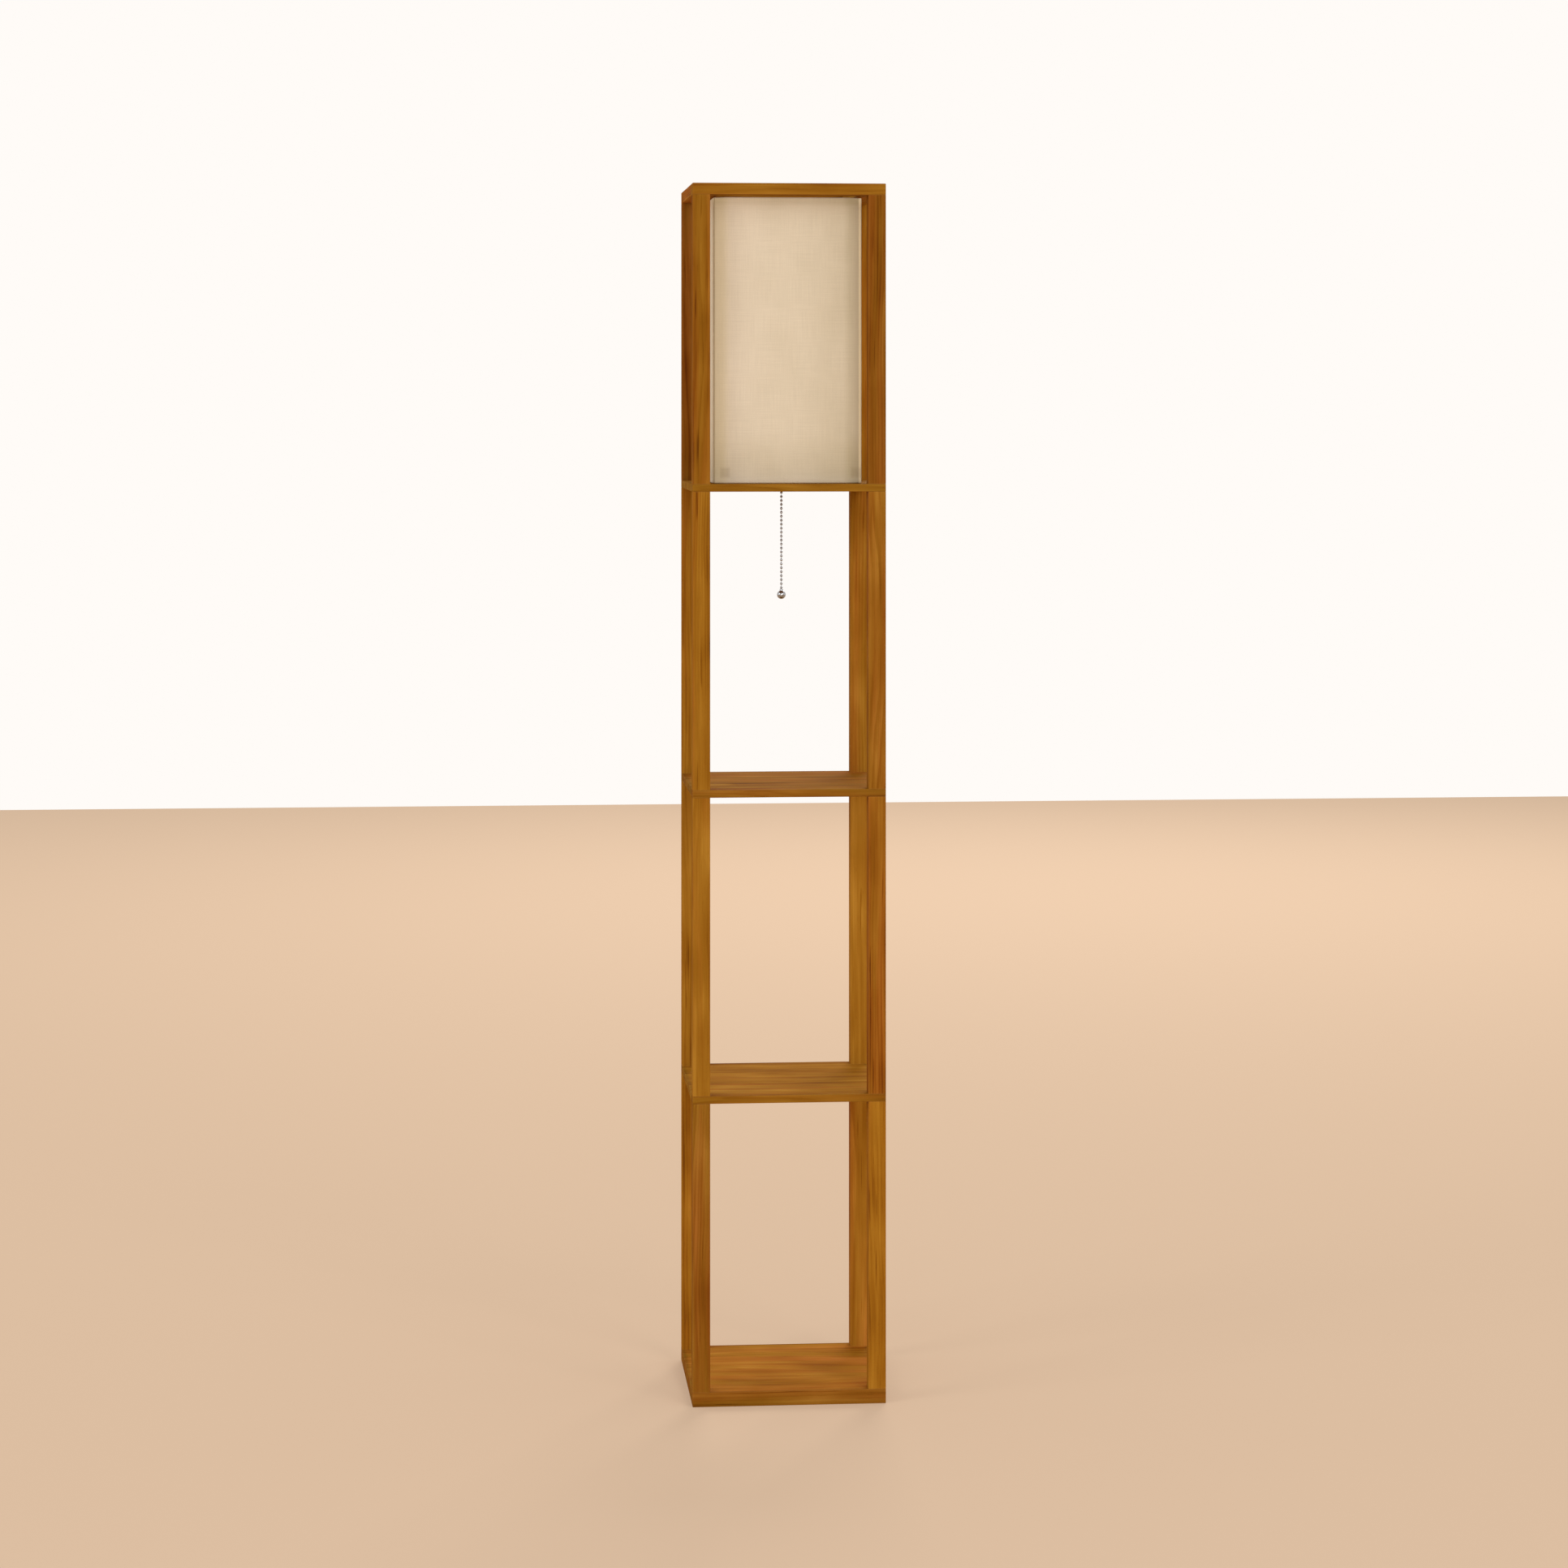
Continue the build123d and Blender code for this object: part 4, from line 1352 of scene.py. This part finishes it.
@dataclass
class PullChain:
    """Bead chain and ball knob.

    Attributes:
        shop: makes and puts on the finishes.
        upper: beads over the swivel.
        lower: beads under it.
        bead: a bead's diameter.
        flat: how far a bead is pressed flat at each end, in degrees.
        dimple: height of the flat's middle, as a share of its rim's.
        pitch: from bead to bead.
        link: a link's diameter.
        play: from a link's end to the next bead.
        knob: the ball's diameter.
        neck: the diameter of the ball's neck.
        lip: radius of the neck's rounded rim.
        bore: radius of the neck's hole.
        bore_depth: its depth.
        bead_steps: quads round a bead.
        link_steps: quads round a link.
        knob_steps: quads round the ball.
    """

    shop: Workshop
    upper: int = 6
    lower: int = 24
    bead: float = 3.6 * MM
    flat: float = 23.0
    dimple: float = 0.93
    pitch: float = 5.3 * MM
    link: float = 1.1 * MM
    play: float = 0.1 * MM
    knob: float = 11.6 * MM
    neck: float = 4.6 * MM
    lip: float = 0.5 * MM
    bore: float = 0.75 * MM
    bore_depth: float = 3.0 * MM
    bead_steps: int = 20
    link_steps: int = 10
    knob_steps: int = 56

    def bead_shell(self) -> tuple[np.ndarray, np.ndarray]:
        """An arc carried round: a ball pressed flat where the link enters at each end.

        Returns:
            Its points and quads, about the origin.
        """
        outline = arc((0.0, 0.0), self.bead / 2, -90 + self.flat, 90 - self.flat, count=13)
        low, high = self.dimple * outline[0, 1], self.dimple * outline[-1, 1]
        return turned_grid(closed(low, outline, high), self.bead_steps)

    def string(self, name: str, top: float, count: int, above: float, below: float) -> Object:
        """Beads below each other with a link between each two.

        Args:
            name: the piece's name.
            top: height of the first bead's middle.
            count: beads.
            above: how far the wire reaches over the first bead's middle.
            below: how far it reaches under the last bead's middle.

        Returns:
            The piece.
        """
        heights = top - self.pitch * np.arange(count)
        points, faces = repeated(*self.bead_shell(), heights)
        radius = self.link / 2
        low, high = heights[-1] - below, top + above
        side = np.array([[radius, low], [radius, high]])
        wire, wire_faces = turned_grid(closed(low, side, high), self.link_steps)
        every = np.concatenate([faces, wire_faces + len(points)])
        return mesh_object(name, np.concatenate([points, wire]), every)

    def build(self) -> None:
        """Make the three stretches of chain, and the knob."""
        reach = self.pitch - self.bead / 2 - self.play
        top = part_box("pull_chain_upper")[1].z - self.bead / 2
        swivel = (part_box("swivel_bead")[0].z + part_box("swivel_bead")[1].z) / 2
        below = swivel - self.lower * self.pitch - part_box("pull_chain_lower")[0].z
        upper = self.string("beads_upper", top, self.upper, 0.0, reach)
        self.shop.add(upper, "bright_nickel", "pull_chain", "pull_chain_upper")
        points, faces = repeated(*self.bead_shell(), np.array([swivel]))
        bead = mesh_object("bead_at_swivel", points, faces)
        self.shop.add(bead, "bright_nickel", "chain_swivel", "swivel_bead")
        lower = self.string("beads_lower", swivel - self.pitch, self.lower, reach, below)
        self.shop.add(lower, "bright_nickel", "hanging_chain", "pull_chain_lower")
        self.shop.add(self.ball(), "bright_nickel", "hanging_chain", "pull_knob")

    def ball(self) -> Object:
        """A ball with a short rolled neck: an arc that meets the neck, then the neck's round and its bore.

        Returns:
            The knob.
        """
        low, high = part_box("pull_knob")
        radius, neck = self.knob / 2, self.neck / 2
        meet = math.degrees(math.acos(neck / radius))
        ball = arc((0.0, low.z + radius), radius, -90.0, meet, count=40)
        lip = arc((neck - self.lip, high.z - self.lip), self.lip, 0.0, 90.0, count=6)
        floor = high.z - self.bore_depth
        hole = np.array([[self.bore, high.z], [self.bore, floor], [0.0, floor]])
        points, faces = turned_grid(np.concatenate([ball, lip, hole]), self.knob_steps)
        return mesh_object("knob_ball", points, faces)


@dataclass
class Bulb:
    """A lamp bulb: diffuser, housing, threaded cap, glass insulator and tip.

    Attributes:
        shop: makes and puts on the finishes.
        pitch: rise of the thread in a turn.
        depth: of the thread.
        crest: radius over the thread.
        foot: height of the glass under the thread.
        tip: radius of the glass at the tip.
        neck: radius of the housing over the cap.
        rim: radius of the housing under the diffuser.
        swell: power that shapes the housing between them.
        groove: depth of the groove under that rim.
        groove_drop: from the rim down to its middle.
        groove_width: how wide it is.
        radius: of the diffuser.
        wall: the diffuser's thickness.
        bevel: on its lower edge.
        glass_gap: from the thread's root in to the glass.
        steps: quads round the cap, the housing and the diffuser.
        glass_steps: quads round the glass.
        sharp: turn over which an edge of the cap or the housing stays sharp, in degrees.
    """

    shop: Workshop
    pitch: float = 3.63 * MM
    depth: float = 0.7 * MM
    crest: float = 13.15 * MM
    foot: float = 3.0 * MM
    tip: float = 5.4 * MM
    neck: float = 13.75 * MM
    rim: float = 29.9 * MM
    swell: float = 1.25
    groove: float = 0.35 * MM
    groove_drop: float = 1.6 * MM
    groove_width: float = 0.5 * MM
    radius: float = 30.0 * MM
    wall: float = 1.2 * MM
    bevel: float = 0.3 * MM
    glass_gap: float = 0.1 * MM
    steps: int = 72
    glass_steps: int = 48
    sharp: float = 50.0

    def build(self) -> None:
        """Make each part of the bulb over its solid."""
        cap_low, cap_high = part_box("bulb_cap")
        globe_low, globe_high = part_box("bulb_globe")
        thread_low = cap_low.z + self.foot
        self.shop.add(self.cap(thread_low, cap_high.z), "bright_nickel", "bulb", "bulb_cap")
        self.shop.add(self.insulator(cap_low.z, thread_low), "black_glass", "bulb")
        self.shop.add(self.housing(cap_high.z, globe_low.z), "white_plastic", "bulb", "bulb_body")
        self.shop.add(self.globe(globe_low.z, globe_high.z), "opal_plastic", "bulb", "bulb_globe")
        self.shop.dress("brass", "bulb_contact")

    def cap(self, low: float, high: float) -> Object:
        """A tube whose radius swells with the sine of height over pitch less the share of a turn.

        The swell fades out over the last half pitch at each end, and the ends close to the axis.

        Args:
            low: height of its lower end.
            high: height of its upper end.

        Returns:
            The cap.
        """
        height = np.linspace(low, high, num=97)[:, None]
        angle = np.linspace(0.0, 2 * math.pi, self.steps, endpoint=False)[None]
        fade = np.clip(np.minimum(height - low, high - height) / (self.pitch / 2), 0.0, 1.0)
        wave = 0.5 + 0.5 * np.sin(2 * math.pi * (height / self.pitch) - angle)
        radius = self.crest - self.depth + self.depth * fade * wave
        shell = np.stack([radius * np.cos(angle), radius * np.sin(angle), height + 0 * radius], axis=-1)
        ends = shell[[0, -1]] * np.array([0.0, 0.0, 1.0])
        grid = np.concatenate([ends[:1], shell, ends[1:]])
        faces = grid_faces(len(grid), self.steps, True)
        return mesh_object("cap_thread", grid.reshape(-1, 3), faces, sharp=self.sharp)

    def insulator(self, low: float, high: float) -> Object:
        """A quarter of an ellipse carried round, from the tip out to the cap.

        Args:
            low: height at the tip.
            high: height at the cap.

        Returns:
            The glass.
        """
        root = self.crest - self.depth - self.glass_gap
        quarter = np.linspace(0.0, 1.0, num=12) * math.pi / 2
        side = np.stack([self.tip + (root - self.tip) * np.sin(quarter),
                         low + (high - low) * (1 - np.cos(quarter))], axis=1)
        return mesh_object("cap_insulator", *turned_grid(closed(low, side, high), self.glass_steps))

    def housing(self, low: float, high: float) -> Object:
        """A neck that swells to the rim by a power of the height's sine, less a bell-shaped groove.

        Args:
            low: height of its lower end.
            high: height of its rim.

        Returns:
            The housing.
        """
        share = np.linspace(0.0, 1.0, num=40)
        swell = np.sin(share * math.pi / 2) ** self.swell
        height = low + (high - low) * share
        groove = self.groove * np.exp(-((height - (high - self.groove_drop)) / self.groove_width) ** 2)
        side = np.stack([self.neck + (self.rim - self.neck) * swell - groove, height], axis=1)
        points, faces = turned_grid(closed(low, side, high), self.steps)
        return mesh_object("bulb_housing", points, faces, sharp=self.sharp)

    def globe(self, low: float, high: float) -> Object:
        """A low wall that runs into a dome, each hollow, closed by a ring below.

        Args:
            low: height of its lower edge.
            high: height of its top.

        Returns:
            The diffuser.
        """
        radius, inside = self.radius, self.radius - self.wall
        outer = arc((0.0, high - radius), radius, 0.0, 90.0, count=30)
        inner = arc((0.0, high - radius), inside, 90.0, 0.0, count=30)
        rim = np.array([[radius - self.bevel, low], [radius, low + self.bevel]])
        back = np.array([[inside, low], [radius - self.bevel, low]])
        outline = np.concatenate([rim, outer, inner, back])
        return mesh_object("bulb_diffuser", *turned_grid(outline, self.steps))


class SoftLight(NamedTuple):
    """A square soft light.

    Attributes:
        name: its name.
        place: its middle.
        watts: its power.
    """

    name: str
    place: tuple[float, float, float]
    watts: float


@dataclass
class Studio:
    """Pale floor and wall, soft light, and the camera.

    Attributes:
        photo: the photograph's width, in pixels.
        focal: its focal length, in those pixels.
        drop: how far its middle lies under its horizon, in those pixels.
        sensor: width of the camera's sensor, in millimetres.
        view_end: how far the camera sees.
        eye: the camera's place.
        yaw: its turn about the vertical, in degrees.
        wall: from the lamp to the wall.
        cove: radius between floor and wall.
        top: the wall's height.
        ambient: strength of the light from all round.
        light_side: side of each soft light.
        light_aim: height on the lamp that each of them faces.
        floor_colour: the floor.
        floor_glow: share of the floor that the camera sees as glow.
        wall_colour: the wall, and what lies beyond it.
        wall_glow: share of the wall that the camera sees as glow.
        lights: the soft lights.
    """

    photo: float = 1932.0
    focal: float = 4808.0
    drop: float = 471.5
    sensor: float = 36.0
    view_end: float = 100.0
    eye: tuple[float, float, float] = (-0.441, -5.216, 1.3143)
    yaw: float = -4.872
    wall: float = 7.5
    cove: float = 0.4
    top: float = 5.0
    ambient: float = 0.60
    light_side: float = 3.0
    light_aim: float = 0.8
    floor_colour: Colour = linear(221, 191, 162)
    floor_glow: float = 0.45
    wall_colour: Colour = linear(255, 251, 247)
    wall_glow: float = 1.0
    lights: tuple[SoftLight, ...] = (
        SoftLight("key", (3.6, -6.4, 3.7), 126.0), SoftLight("fill", (-6.4, -3.6, 3.4), 142.0),
        SoftLight("front", (-0.6, -7.4, 1.6), 72.0), SoftLight("back", (1.6, 6.4, 4.6), 250.0),
    )

    def camera(self) -> None:
        """Set the camera where the picture was taken from, looking level with its view moved down."""
        data = bpy.data.cameras.new("camera")
        data.lens = self.sensor * self.focal / self.photo
        data.sensor_width = self.sensor
        data.shift_y = -self.drop / self.photo
        data.clip_end = self.view_end
        holder = linked("camera", data)
        holder.location = self.eye
        holder.rotation_euler = (math.pi / 2, 0.0, math.radians(self.yaw))
        bpy.context.scene.camera = holder

    def hang(self, light: SoftLight) -> None:
        """Hang one soft light.

        Args:
            light: its name, place and power.
        """
        data = bpy.data.lights.new(light.name, "AREA")
        data.shape = "SQUARE"
        data.size = self.light_side
        data.energy = light.watts
        holder = linked(light.name, data)
        holder.location = light.place
        towards = Vector((0.0, 0.0, self.light_aim)) - Vector(light.place)
        holder.rotation_euler = towards.to_track_quat("-Z", "Y").to_euler()

    def plain(self, name: str, colour: Colour, glow: float) -> Material:
        """A matt stage colour, which the camera and mirrors see partly as glow.

        Args:
            name: the material's name.
            colour: its colour.
            glow: the share seen as glow.

        Returns:
            The material.
        """
        material, graph, shader = surface_material(name)
        shader.inputs["Base Color"].default_value = colour
        shader.inputs["Roughness"].default_value = 0.9
        shader.inputs["Specular IOR Level"].default_value = 0.0
        light = graph.add("ShaderNodeEmission")
        light.inputs["Color"].default_value = colour
        share = graph.math("MULTIPLY", graph.seen(), glow)
        graph.blend(share, shader.outputs[0], light.outputs[0], "Material Output")
        return material

    def room(self, name: str, outline: np.ndarray, colour: Colour, glow: float) -> Object:
        """Carry an outline round in a square, each ring pushed out by its reach over its longer side.

        Args:
            name: the object's name.
            outline: one (distance, height) a row.
            colour: its colour.
            glow: the share of it that the camera and mirrors see as glow.

        Returns:
            The floor or wall.
        """
        points, faces = turned_grid(outline, steps=96)
        longer = np.maximum(np.abs(points[:, :2]).max(axis=1), MM)
        points[:, :2] *= (np.hypot(points[:, 0], points[:, 1]) / longer)[:, None]
        piece = mesh_object(name, points, faces)
        piece.data.materials.append(self.plain(name, colour, glow))
        return piece

    def build(self) -> None:
        """Lay the floor, stand the walls, and set the light."""
        ground = np.array([[0.0, 0.0], [self.wall, 0.0]])
        floor = self.room("floor", ground, self.floor_colour, self.floor_glow)
        cove = arc((self.wall, self.cove), self.cove, -90.0, 0.0, count=12)
        outline = np.concatenate([cove, [[self.wall + self.cove, self.top]]])
        wall = self.room("wall", outline, self.wall_colour, self.wall_glow)
        wall.visible_diffuse = False
        wall.visible_shadow = False

        world = bpy.data.worlds.new("world")
        world.use_nodes = True
        graph = Graph(world.node_tree)
        soft = world.node_tree.nodes["Background"]
        soft.inputs["Color"].default_value = (1.0, 1.0, 1.0, 1.0)
        soft.inputs["Strength"].default_value = self.ambient
        plain = graph.add("ShaderNodeBackground")
        plain.inputs["Color"].default_value = self.wall_colour
        graph.blend(graph.seen(), soft.outputs[0], plain.outputs[0], "World Output")
        bpy.context.scene.world = world
        for light in self.lights:
            self.hang(light)
        bpy.context.scene.view_settings.view_transform = "Standard"


def main() -> None:
    """Load the frame, dress it, and add the new pieces."""
    logging.basicConfig(level=logging.INFO, format="%(name)s: %(message)s")
    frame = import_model()
    studio = Studio()
    studio.camera()
    studio.build()
    shop = Workshop(frame["nodes"])
    Cabinet(shop).dress()
    TopFrame(shop).dress()
    shade = Shade(shop)
    shade.build()
    shade.dress()
    LampHolder(shop).dress()
    PullSwitch(shop).dress()
    PullChain(shop).build()
    Bulb(shop).build()


if __name__ == "__main__":
    main()
